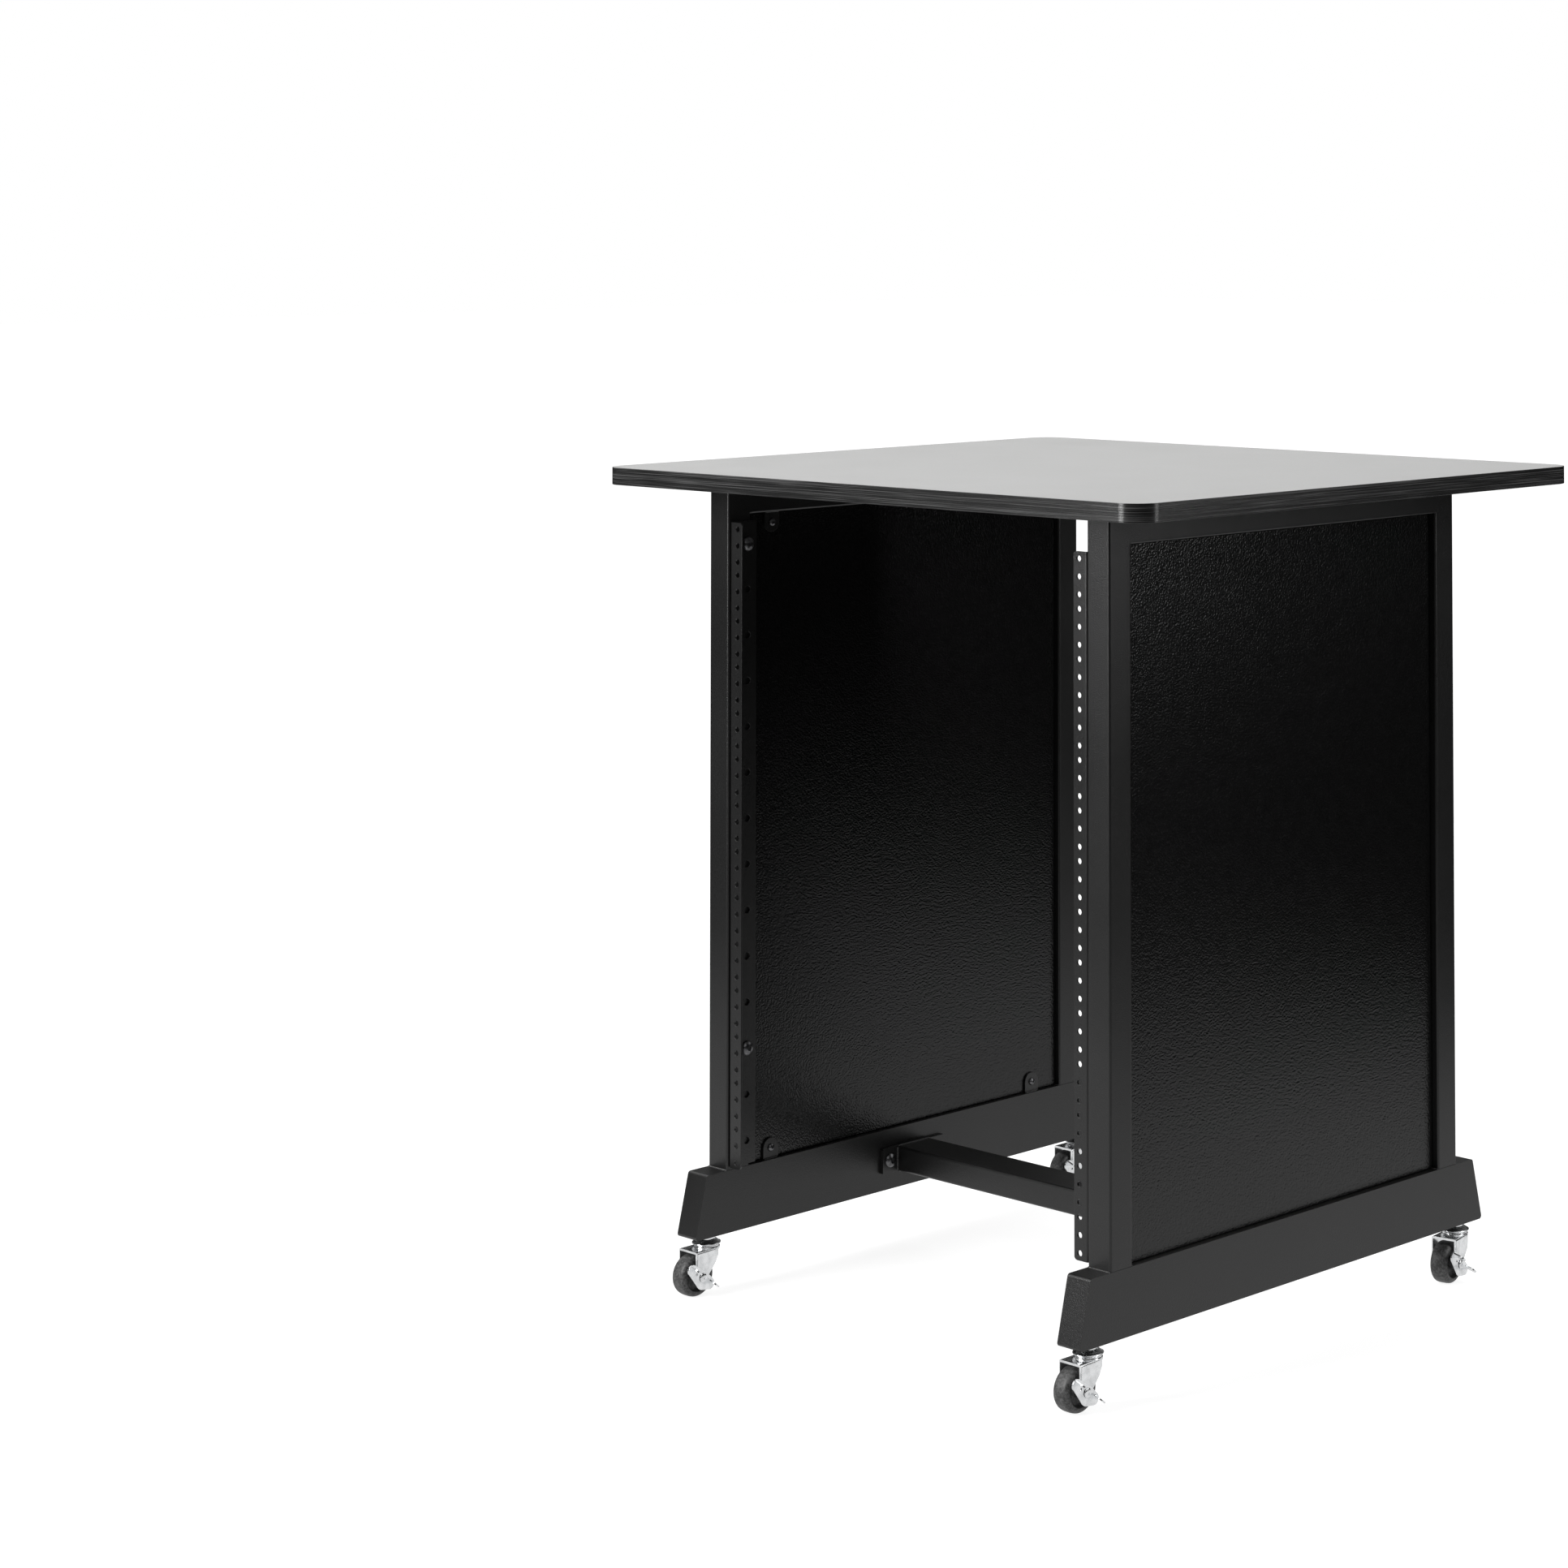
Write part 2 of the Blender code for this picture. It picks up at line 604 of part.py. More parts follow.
def make_side_panel(side_name, side):
    """The board that fills a frame, with blind holes for its screws."""
    size = (
        PANEL_THICKNESS,
        FRAME_DEPTH - 2 * TUBE - 2 * GAP,
        OPENING_TOP_Z - FOOT_TOP_Z - 2 * GAP,
    )
    centre = (side * PANEL_X, FRAME_CENTRE_Y, (OPENING_TOP_Z + FOOT_TOP_Z) / 2)
    panel = part(f"{side_name}_side_panel", block_mesh(size), BLACK_LAMINATE, centre)
    bevel(panel, PANEL_BEVEL)
    fit = clearing(PANEL_SCREW_RADIUS, SCREW_SEGMENTS)
    hole = rod_mesh(fit, 2 * (PANEL_SCREW_BITE + GAP), SCREW_SEGMENTS)
    places = [at((side * PANEL_INNER_X, y, z), ACROSS) for y, z in panel_screw_places().values()]
    cut(panel, gathered_mesh(hole, places))


def make_panel_screws(side_name, side):
    """The screws that go through the tabs into the panel."""
    seat_x = side * (PANEL_INNER_X - 2 * GAP - TAB_THICKNESS)
    reach = TAB_THICKNESS + 2 * GAP + PANEL_SCREW_BITE
    screw = bolt_mesh(
        PANEL_SCREW_RADIUS, PANEL_SCREW_HEAD_RADIUS, PANEL_SCREW_HEAD_HEIGHT, reach, SCREW_SEGMENTS
    )
    places = {
        f"{side_name}_{name}": at((seat_x, y, z), (-side, 0.0, 0.0))
        for name, (y, z) in panel_screw_places().items()
    }
    fasteners(screw, BLACK_SCREW, places)


# Rack rails

def rail_hole_heights():
    """Heights of all screw holes of a rail."""
    return [RAIL_FIRST_HOLE_Z + unit * RACK_UNIT + step for unit in range(RACK_UNITS) for step in HOLE_STEPS]


def side_hole_height(unit):
    """Height of the hole in a rail's side in a unit, level with its middle screw hole."""
    return RAIL_FIRST_HOLE_Z + unit * RACK_UNIT + HOLE_STEPS[1]


def rail_bolt_places():
    """Where each bolt of a rail stands, as (y, z)."""
    y = RAIL_FRONT_Y + SIDE_HOLE_SETBACK
    return {f"{level}_rail_bolt": (y, side_hole_height(unit)) for level, unit in RAIL_BOLT_UNITS.items()}


def make_rack_rail(side_name, side):
    """A bent sheet angle: a perforated face to the front and a perforated side on the post."""
    bend = (-RAIL_BEND_RADIUS, RAIL_BEND_RADIUS)
    section = [(-RAIL_FACE_WIDTH, RAIL_SHEET), (-RAIL_FACE_WIDTH, 0.0)]
    section += arc(bend, RAIL_BEND_RADIUS, -90.0, 0.0, 4)
    section += [(0.0, RAIL_SIDE_DEPTH), (-RAIL_SHEET, RAIL_SIDE_DEPTH)]
    section += arc(bend, RAIL_BEND_RADIUS - RAIL_SHEET, 0.0, -90.0, 4)
    mesh = prism_mesh([[(side * x, y) for x, y in section]], RAIL_LENGTH, PLANE_XY)
    round_tips(mesh, side)
    centre = (side * RAIL_OUTER_X, RAIL_FRONT_Y, RAIL_MIDDLE_Z)
    rail = part(f"{side_name}_rack_rail", mesh, BLACK_STEEL, centre)
    face_hole = rod_mesh(HOLE_DIAMETER / 2, 3 * RAIL_SHEET, HOLE_SEGMENTS)
    x, y = side * HOLE_SPACING_ACROSS / 2, RAIL_FRONT_Y + RAIL_SHEET / 2
    cut(rail, gathered_mesh(face_hole, [at((x, y, z), (0.0, 1.0, 0.0)) for z in rail_hole_heights()]))
    side_hole = rod_mesh(SIDE_HOLE_DIAMETER / 2, 3 * RAIL_SHEET, HOLE_SEGMENTS)
    x, y = side * (RAIL_OUTER_X - RAIL_SHEET / 2), RAIL_FRONT_Y + SIDE_HOLE_SETBACK
    cut(rail, gathered_mesh(side_hole, [at((x, y, side_hole_height(u)), ACROSS) for u in range(RACK_UNITS)]))

    seat_x = side * (RAIL_OUTER_X - RAIL_SHEET - GAP)
    reach = RAIL_SHEET + 2 * GAP + BOLT_REACH
    bolt = bolt_mesh(RAIL_BOLT_RADIUS, BOLT_HEAD_RADIUS, BOLT_HEAD_HEIGHT, reach, BOLT_SEGMENTS)
    places = {
        f"{side_name}_{name}": at((seat_x, *place), (-side, 0.0, 0.0))
        for name, place in rail_bolt_places().items()
    }
    fasteners(bolt, BLACK_SCREW, places)


def round_tips(mesh, side):
    """Round the two free corners of a rail's face."""
    bm = bmesh.new()
    bm.from_mesh(mesh)
    tip_x = -side * RAIL_FACE_WIDTH
    tips = [
        e for e in bm.edges
        if all(abs(v.co.x - tip_x) < 1e-6 for v in e.verts)
        and abs(abs(e.verts[0].co.z) - RAIL_LENGTH / 2) < 1e-6
        and abs(e.verts[0].co.z - e.verts[1].co.z) < 1e-6
    ]
    bmesh.ops.bevel(bm, geom=tips, offset=RAIL_TIP_RADIUS, segments=3, profile=0.5, affect="EDGES")
    bm.to_mesh(mesh)
    bm.free()


# Cross bar

def make_cross_bar():
    """The tube between the foot beams, its end plates and their bolts."""
    centre = (0.0, FRAME_CENTRE_Y, FOOT_MIDDLE_Z)
    tube = prism_mesh(tube_outlines(BAR_DEPTH, BAR_HEIGHT, BAR_WALL, BAR_CORNER), BAR_LENGTH, PLANE_YZ)
    part("cross_bar", tube, BLACK_STEEL, centre)
    fit = clearing(BOLT_RADIUS, BOLT_SEGMENTS)
    holes = [circle((end * BAR_BOLT_Y, 0.0), fit, BOLT_SEGMENTS) for end in ENDS.values()]
    outlines = [rectangle(PLATE_LENGTH, BAR_HEIGHT)] + holes
    reach = PLATE_THICKNESS + 2 * GAP + BOLT_REACH
    bolt = bolt_mesh(BOLT_RADIUS, BOLT_HEAD_RADIUS, BOLT_HEAD_HEIGHT, reach, BOLT_SEGMENTS)
    for side_name, side in SIDES.items():
        plate = prism_mesh(outlines, PLATE_THICKNESS, PLANE_YZ)
        part(f"{side_name}_bar_plate", plate, BLACK_STEEL, (side * PLATE_X, FRAME_CENTRE_Y, FOOT_MIDDLE_Z))
        seat_x = side * (PLATE_FACE_X - GAP)
        places = {
            f"{side_name}_{end_name}_bar_bolt":
                at((seat_x, FRAME_CENTRE_Y + end * BAR_BOLT_Y, FOOT_MIDDLE_Z), (-side, 0.0, 0.0))
            for end_name, end in ENDS.items()
        }
        fasteners(bolt, BLACK_SCREW, places)


# Casters, built about the swivel axis with the floor at z = 0

def make_casters():
    """Four casters, their pieces parented to empties on the swivel axes and on the axles."""
    stem = stem_mesh()
    axle = axle_mesh()
    cap = cap_mesh()
    wheel = wheel_mesh()
    fork = fork_mesh()
    lever = lever_mesh()
    for end_name, end in ENDS.items():
        for side_name, side in SIDES.items():
            corner = f"{end_name}_{side_name}"
            place = (side * FRAME_MIDDLE_X, FRAME_CENTRE_Y + end * CASTER_Y, 0.0)
            swivel = empty(f"{corner}_swivel_axis", place)
            swivel.rotation_euler = (0.0, 0.0, math.radians(SWIVEL_AT_REST[corner]))
            centre = empty(f"{corner}_axle_axis", (0.0, -TRAIL, AXLE_Z), swivel)
            part(f"{corner}_caster_stem", stem, ZINC, place)
            part(f"{corner}_swivel_cap", cap, ZINC, place)
            part(f"{corner}_caster_fork", fork, ZINC, parent=swivel)
            part(f"{corner}_caster_axle", axle, ZINC, parent=centre)
            part(f"{corner}_caster_wheel", wheel, BLACK_RUBBER, parent=centre)
            part(f"{corner}_brake_lever", lever, ZINC, parent=centre)


def empty(name, location, parent=None):
    """An empty that marks a joint's axis."""
    obj = bpy.data.objects.new(name, None)
    RACK.objects.link(obj)
    obj.location = location
    obj.parent = parent
    return obj


def cap_mesh():
    """The domed cap that covers the swivel's ball race."""
    bore = clearing(STEM_RADIUS, CASTER_SEGMENTS)
    profile = [
        (bore, CAP_TOP),
        (CAP_NECK_RADIUS, CAP_TOP),
        ((CAP_NECK_RADIUS + CAP_RADIUS) / 2, CAP_RIM_TOP + CAP_DOME_HEIGHT * 0.62),
        (CAP_RADIUS, CAP_RIM_TOP),
        (CAP_RADIUS, CAP_BOTTOM),
        (bore, CAP_BOTTOM),
    ]
    return turned_mesh(profile, CASTER_SEGMENTS, closed=True)


def stem_mesh():
    """Threaded stem with its nut on the cap. Its lower end is the kingpin, riveted under the crown."""
    stem_top = FOOT_BOTTOM_Z + STEM_REACH
    pin_seat = CROWN_TOP - FORK_SHEET - RUN_GAP
    pin_end = pin_seat - KINGPIN_HEAD_HEIGHT
    nut_bottom = CAP_TOP + GAP
    nut_top = FOOT_BOTTOM_Z - GAP
    profile = [
        (0.0, stem_top),
        (STEM_RADIUS, stem_top),
        (STEM_RADIUS, CAP_BOTTOM),
        (KINGPIN_RADIUS, CAP_BOTTOM),
        (KINGPIN_RADIUS, pin_seat),
        (KINGPIN_HEAD_RADIUS, pin_seat),
        (KINGPIN_HEAD_RADIUS, pin_end),
        (0.0, pin_end),
    ]
    nut = rod_mesh(NUT_ACROSS_FLATS / math.sqrt(3.0), nut_top - nut_bottom, 6)
    nut.transform(Matrix.Translation((0.0, 0.0, (nut_top + nut_bottom) / 2)))
    return carved_mesh(turned_mesh(profile, CASTER_SEGMENTS), joined=[nut])


def fork_mesh():
    """The pressed fork: a crown with a raised race, and two legs that taper to the axle."""
    half = FORK_WIDTH / 2
    front = -FORK_FRONT + FORK_CORNER
    side = half - FORK_STEP - FORK_CORNER
    crown_outline = hull(
        circle((0.0, 0.0), CROWN_RADIUS, CASTER_SEGMENTS)
        + [p for x in (-side, side) for y in (front, 0.0) for p in circle((x, y), FORK_CORNER, 8)]
    )
    crown = prism_mesh([crown_outline], FORK_SHEET, PLANE_XY)
    crown.transform(Matrix.Translation((0.0, 0.0, CROWN_TOP - FORK_SHEET / 2)))

    top = CROWN_TOP - FORK_STEP - FORK_CORNER
    leg_outline = hull(
        circle((front, top), FORK_CORNER, 8)
        + circle((LEG_REAR, top), FORK_CORNER, 8)
        + circle((-TRAIL, AXLE_Z), LEG_END_RADIUS, CASTER_SEGMENTS)
    )
    hole = circle((-TRAIL, AXLE_Z), clearing(AXLE_RADIUS, BOLT_SEGMENTS), BOLT_SEGMENTS)
    leg = prism_mesh([leg_outline, hole], FORK_SHEET, PLANE_YZ)
    legs = [Matrix.Translation((s * (half - FORK_SHEET / 2), 0.0, 0.0)) for s in SIDES.values()]

    race_root = FORK_SHEET / 2
    race = rod_mesh(RACE_RADIUS, RACE_HEIGHT + race_root, CASTER_SEGMENTS)
    race.transform(Matrix.Translation((0.0, 0.0, CROWN_TOP + (RACE_HEIGHT - race_root) / 2)))
    bore = rod_mesh(clearing(KINGPIN_RADIUS, CASTER_SEGMENTS), CASTER_HEIGHT, CASTER_SEGMENTS)
    bore.transform(Matrix.Translation((0.0, 0.0, CROWN_TOP)))
    return carved_mesh(crown, joined=[gathered_mesh(leg, legs), race], cutters=[bore])


def axle_mesh():
    """The rivet through fork, hub and lever, along X."""
    half = FORK_WIDTH / 2 + GAP
    right = half + LEVER_SHEET + RUN_GAP + GAP
    profile = [
        (0.0, right + AXLE_HEAD_HEIGHT),
        (AXLE_HEAD_RADIUS * 0.8, right + AXLE_HEAD_HEIGHT),
        (AXLE_HEAD_RADIUS, right + AXLE_HEAD_HEIGHT * 0.4),
        (AXLE_HEAD_RADIUS, right),
        (AXLE_RADIUS, right),
        (AXLE_RADIUS, -half),
        (AXLE_HEAD_RADIUS, -half),
        (AXLE_HEAD_RADIUS, -half - AXLE_HEAD_HEIGHT * 0.6),
        (AXLE_HEAD_RADIUS * 0.8, -half - AXLE_HEAD_HEIGHT),
        (0.0, -half - AXLE_HEAD_HEIGHT),
    ]
    mesh = turned_mesh(profile, BOLT_SEGMENTS)
    mesh.transform(along((1, 0, 0)))
    return mesh


def wheel_mesh():
    """A moulded wheel about X: round shoulders, a thin web and a boss that runs between the legs."""
    bore = clearing(AXLE_RADIUS, WHEEL_SEGMENTS)
    boss = FORK_WIDTH / 2 - FORK_SHEET - RUN_GAP
    web = WHEEL_WEB_WIDTH / 2
    flank = WHEEL_WIDTH / 2
    shoulder = arc((WHEEL_RADIUS - WHEEL_SHOULDER, flank - WHEEL_SHOULDER), WHEEL_SHOULDER, 90.0, 0.0, 3)
    one_side = [
        (bore, boss),
        (WHEEL_BOSS_RADIUS, boss),
        (WHEEL_BOSS_RADIUS + WHEEL_DRAFT, web),
        (WHEEL_RECESS_RADIUS - WHEEL_DRAFT, web),
        (WHEEL_RECESS_RADIUS, flank),
    ] + shoulder
    profile = one_side + [(r, -x) for r, x in reversed(one_side)]
    wheel = turned_mesh(profile, WHEEL_SEGMENTS, closed=True)
    wheel.transform(along(ACROSS) @ Matrix.Rotation(math.pi / WHEEL_SEGMENTS, 4, "Z"))
    return wheel


def lever_mesh():
    """The rocker plate outside the fork, with a bent pad at each end."""
    outline = hull(
        circle(LEVER_FRONT, LEVER_END_RADIUS, CASTER_SEGMENTS)
        + circle(LEVER_REAR, LEVER_END_RADIUS, CASTER_SEGMENTS)
        + circle((0.0, -LEVER_MID_DROP), LEVER_MID_RADIUS, CASTER_SEGMENTS)
    )
    hole = circle((0.0, 0.0), clearing(AXLE_RADIUS, BOLT_SEGMENTS), BOLT_SEGMENTS)
    plate = prism_mesh([outline, hole], LEVER_SHEET, PLANE_YZ)
    plate_x = FORK_WIDTH / 2 + RUN_GAP + LEVER_SHEET / 2
    plate.transform(Matrix.Translation((plate_x, 0.0, 0.0)))

    run = Vector(LEVER_REAR) - Vector(LEVER_FRONT)
    lean = Matrix.Rotation(math.atan2(run.y, run.x), 4, "X")
    half = PAD_WIDTH / 2
    tongue = [(0.0, half), (0.0, -half)] + arc((PAD_REACH - half, 0.0), half, -90.0, 90.0, 4)
    pad = prism_mesh([tongue], LEVER_SHEET, PLANE_XY)
    pad.transform(lean @ Matrix.Rotation(PAD_DROOP, 4, "Y"))
    lift = lean @ Vector((0.0, 0.0, PAD_OFFSET))
    roots = [Vector((plate_x, *end)) + lift for end in (LEVER_FRONT, LEVER_REAR)]
    return carved_mesh(plate, joined=[gathered_mesh(pad, [Matrix.Translation(root) for root in roots])])


def main():
    """Build every piece of the rack."""
    make_table_top()
    make_table_screws()
    for side_name, side in SIDES.items():
        make_posts(side_name, side)
        make_top_rail(side_name, side)
        make_foot_beam(side_name, side)
        make_side_panel(side_name, side)
        make_panel_screws(side_name, side)
        make_rack_rail(side_name, side)
    make_cross_bar()
    make_casters()


main()
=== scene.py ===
"""Looks of the wooden studio rack.

The solids of the frame carry finer pieces and finishes here: a laminated board with a dark grained
edge, powder-coated tube frames with their weld beads, perforated rack rails, pebbled side panels and
zinc-plated swivel casters. A pale studio and the photograph's view complete the scene.

Metres, +Z up, +X to the rack's right and +Y to its back, on the same origin as the solids.
"""

import logging
import math
from dataclasses import dataclass
from enum import Enum
from typing import Any, Iterable, Sequence

import bmesh
import bpy
from mathutils import Matrix, Vector


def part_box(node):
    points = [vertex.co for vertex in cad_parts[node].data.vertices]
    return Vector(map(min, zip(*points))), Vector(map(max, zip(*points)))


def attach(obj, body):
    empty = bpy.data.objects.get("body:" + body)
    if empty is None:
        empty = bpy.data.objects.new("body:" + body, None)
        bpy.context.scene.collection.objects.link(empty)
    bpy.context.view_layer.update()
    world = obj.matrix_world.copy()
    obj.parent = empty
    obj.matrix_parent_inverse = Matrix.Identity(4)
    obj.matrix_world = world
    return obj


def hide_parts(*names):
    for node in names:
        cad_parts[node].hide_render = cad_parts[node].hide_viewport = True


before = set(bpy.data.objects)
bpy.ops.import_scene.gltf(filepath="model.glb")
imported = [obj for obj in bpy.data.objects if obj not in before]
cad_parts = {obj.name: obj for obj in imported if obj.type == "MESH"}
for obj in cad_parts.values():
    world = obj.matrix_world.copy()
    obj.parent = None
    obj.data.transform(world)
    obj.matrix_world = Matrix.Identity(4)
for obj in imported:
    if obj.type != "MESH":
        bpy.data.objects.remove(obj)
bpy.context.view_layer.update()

LOG = logging.getLogger("studio_rack")
Flat = tuple[float, float]
Point = tuple[float, float, float]
Pair = tuple[Sequence[float], Sequence[float]]
Inputs = dict[Any, Any]
Mesh = bpy.types.Mesh
Socket = bpy.types.NodeSocket

ROOT = "root"
ORIGIN = (0.0, 0.0)
WHITE = (1.0, 1.0, 1.0, 1.0)
GAP = 0.0003


class Plane(Enum):
    """The plane that a flat outline is drawn in, and the turn that takes it there."""

    FLOOR = Matrix.Identity(4)
    FRONT = Matrix.Rotation(math.pi / 2, 4, "X")
    SIDE = Matrix.Rotation(math.pi / 2, 4, "Z") @ Matrix.Rotation(math.pi / 2, 4, "X")


class Drive(Enum):
    """The recess in a screw's head, by its number of arms."""

    CROSS = 2
    HEXAGON = 3


class Way(Enum):
    """A way out from the rack's middle, by the sign of its axis."""

    @property
    def word(self) -> str:
        """What it is called in the names of solids and pieces."""
        return self.name.lower()


class Side(Way):
    """The rack's two sides, by the sign of X."""

    LEFT = -1
    RIGHT = 1


class End(Way):
    """The rack's two ends, by the sign of Y."""

    FRONT = -1
    REAR = 1


# Node trees

class Graph:
    """A node tree that is written one node a line."""

    def __init__(self, tree: bpy.types.NodeTree) -> None:
        """Start on a shader or geometry tree."""
        self.tree = tree

    def feed(self, node: bpy.types.Node, values: Inputs) -> None:
        """Fill a node's inputs.

        Args:
            node: The node.
            values: A socket to link from, or a constant, for each input's name or index.
        """
        for key, value in values.items():
            if isinstance(value, Socket):
                self.tree.links.new(value, node.inputs[key])
            else:
                node.inputs[key].default_value = value

    def add(self, kind: str, values: Inputs | None = None, **settings: Any) -> bpy.types.Node:
        """Add a node.

        Args:
            kind: The node's type name.
            values: What goes into its inputs.
            settings: The node's own properties.

        Returns:
            The new node.
        """
        node = self.tree.nodes.new(kind)
        for name, value in settings.items():
            setattr(node, name, value)
        self.feed(node, values or {})
        return node

    def shader(self, kind: str, values: Inputs | None = None, **settings: Any) -> Socket:
        """Add a shader node by its short name and return its first output."""
        return self.add(f"ShaderNode{kind}", values, **settings).outputs[0]

    def geometry(self, kind: str, values: Inputs | None = None, **settings: Any) -> Socket:
        """Add a geometry node by its short name and return its first output."""
        return self.add(f"GeometryNode{kind}", values, **settings).outputs[0]

    def math(self, operation: str, a: Any, b: Any = 0.0) -> Socket:
        """Return the result of a sum on one or two numbers or sockets."""
        return self.shader("Math", {0: a, 1: b}, operation=operation)

    def times(self, a: Any, b: Any) -> Socket:
        """Return the product of two numbers or sockets."""
        return self.math("MULTIPLY", a, b)

    def total(self, first: Any, *others: Any) -> Socket:
        """Return the sum of some numbers or sockets."""
        for other in others:
            first = self.math("ADD", first, other)
        return first

    def vector(self, x: Any = 0.0, y: Any = 0.0, z: Any = 0.0) -> Socket:
        """Return a vector of three numbers or sockets."""
        return self.shader("CombineXYZ", {"X": x, "Y": y, "Z": z})

    def spot(self) -> Any:
        """Return the X, Y and Z outputs of a point's place."""
        return self.add("ShaderNodeSeparateXYZ", {0: self.geometry("InputPosition")}).outputs

    def join(self, parts: Iterable[Socket]) -> Socket:
        """Return some geometries as one."""
        node = self.add("GeometryNodeJoinGeometry")
        for part in parts:
            self.feed(node, {0: part})
        return node.outputs[0]

    def place(self, stretch: Sequence[float] = (1.0, 1.0, 1.0), source: str = "Object") -> Socket:
        """Return a pattern's coordinates.

        Args:
            stretch: The pattern's scale along each axis.
            source: "Object" for the piece's place, or "UV" for its own map.

        Returns:
            The socket that carries them.
        """
        where = self.add("ShaderNodeTexCoord").outputs[source]
        return self.shader("Mapping", {"Vector": where, "Scale": stretch})

    def noise(self, where: Socket, scale: float, detail: float = 2.0, rough: float = 0.5) -> Socket:
        """Return a noise pattern between 0 and 1 with a number of features to the metre."""
        values = {"Vector": where, "Scale": scale, "Detail": detail, "Roughness": rough}
        return self.shader("TexNoise", values)

    def blend(self, a: Socket, b: Socket, share: float) -> Socket:
        """Return a mix of two values, by the first one's share."""
        return self.total(self.times(a, share), self.times(b, 1.0 - share))

    def ramp(self, value: Socket, stops: Sequence[tuple[float, Sequence[float] | float]]) -> Socket:
        """Turn a value into a colour.

        Args:
            value: The socket to read.
            stops: Each place on the ramp, with its colour or grey.

        Returns:
            The socket that carries the colour.
        """
        node = self.add("ShaderNodeValToRGB", {0: value})
        elements = node.color_ramp.elements
        while len(elements) < len(stops):
            elements.new(0.5)
        for element, (position, colour) in zip(elements, stops):
            element.position = position
            shade = (colour, colour, colour) if isinstance(colour, float) else colour
            element.color = (*shade, 1.0)
        return node.outputs[0]

    def span(self, value: Socket, low: float, high: float, start: float = 0.0, end: float = 1.0) -> Socket:
        """Spread a value over another range.

        Args:
            value: The socket to read.
            low: What the start becomes.
            high: What the end becomes.
            start: The value's own start.
            end: Its own end.

        Returns:
            The socket that carries the result.
        """
        values = {"Value": value, "From Min": start, "From Max": end, "To Min": low, "To Max": high}
        return self.shader("MapRange", values)

    def bump(self, height: Socket, depth: float, strength: float = 1.0) -> Socket:
        """Return a surface raised by a pattern, to a depth in metres."""
        return self.shader("Bump", {"Height": height, "Distance": depth, "Strength": strength})


class GeometryTool:
    """A Geometry Nodes tree with named inputs, used once on a mesh and then thrown away."""

    def __init__(self, name: str) -> None:
        """Make a tree of that name with its geometry sockets."""
        self.tree = bpy.data.node_groups.new(name, "GeometryNodeTree")
        for way in ("INPUT", "OUTPUT"):
            self.tree.interface.new_socket("Geometry", in_out=way, socket_type="NodeSocketGeometry")
        self.graph = Graph(self.tree)
        self.entry = self.tree.nodes.new("NodeGroupInput")
        self.exit = self.tree.nodes.new("NodeGroupOutput")
        self.values: dict[str, float | int] = {}

    def numbers(self, values: dict[str, float | int]) -> list[Socket]:
        """Add named sizes and counts to the tree's inputs.

        Args:
            values: What each input is set to, by its name. A whole number makes a count.

        Returns:
            The sockets that carry them inside the tree.
        """
        for name, value in values.items():
            kind = "NodeSocketInt" if isinstance(value, int) else "NodeSocketFloat"
            socket = self.tree.interface.new_socket(name, in_out="INPUT", socket_type=kind)
            self.values[socket.identifier] = value
        return [self.entry.outputs[name] for name in values]

    def run(self, geometry: Socket, material: bpy.types.Material, mesh: Mesh) -> Mesh:
        """End the tree and use it. Its instances become real and take their material.

        Args:
            geometry: What the tree has made.
            material: The finish that it gets.
            mesh: The mesh that the tree starts from.

        Returns:
            A plain mesh of what comes out.
        """
        real = self.graph.geometry("RealizeInstances", {0: geometry})
        dressed = self.graph.geometry("SetMaterial", {"Geometry": real, "Material": material})
        self.graph.feed(self.exit, {0: dressed})
        guide = placed("guide", mesh)
        modifier = guide.modifiers.new("tool", "NODES")
        modifier.node_group = self.tree
        for identifier, value in self.values.items():
            modifier[identifier] = value
        return settle(guide)


# Meshes

def placed(name: str, data: Any) -> bpy.types.Object:
    """Add an object to the scene and return it."""
    obj = bpy.data.objects.new(name, data)
    bpy.context.scene.collection.objects.link(obj)
    return obj


def settle(guide: bpy.types.Object) -> Mesh:
    """Turn a helper object, with its modifiers, into a plain mesh and remove it."""
    bpy.context.view_layer.update()
    depsgraph = bpy.context.evaluated_depsgraph_get()
    mesh = bpy.data.meshes.new_from_object(guide.evaluated_get(depsgraph), depsgraph=depsgraph)
    bpy.data.objects.remove(guide, do_unlink=True)
    return mesh


def emptied(bm: bmesh.types.BMesh, name: str) -> Mesh:
    """Return a new mesh of what an editing mesh holds, and free that."""
    mesh = bpy.data.meshes.new(name)
    bm.to_mesh(mesh)
    bm.free()
    return mesh


def weld(mesh: Mesh) -> Mesh:
    """Return a mesh with its doubled points merged and its faces turned outwards."""
    bm = bmesh.new()
    bm.from_mesh(mesh)
    bmesh.ops.remove_doubles(bm, verts=bm.verts, dist=1e-6)
    bmesh.ops.recalc_face_normals(bm, faces=bm.faces)
    return emptied(bm, "welded")


def arc(centre: Flat, radius: float, start: float, end: float, steps: int) -> list[Flat]:
    """Points on an arc.

    Args:
        centre: The arc's centre.
        radius: Its radius.
        start: Where it starts, in degrees.
        end: Where it ends, in degrees.
        steps: How many straight lines stand for it.

    Returns:
        One point more than there are steps.
    """
    angles = [math.radians(start + (end - start) * i / steps) for i in range(steps + 1)]
    return [(centre[0] + radius * math.cos(a), centre[1] + radius * math.sin(a)) for a in angles]


def circle(centre: Flat, radius: float, segments: int) -> list[Flat]:
    """Points of a whole circle."""
    return arc(centre, radius, 0.0, 360.0, segments)[:-1]


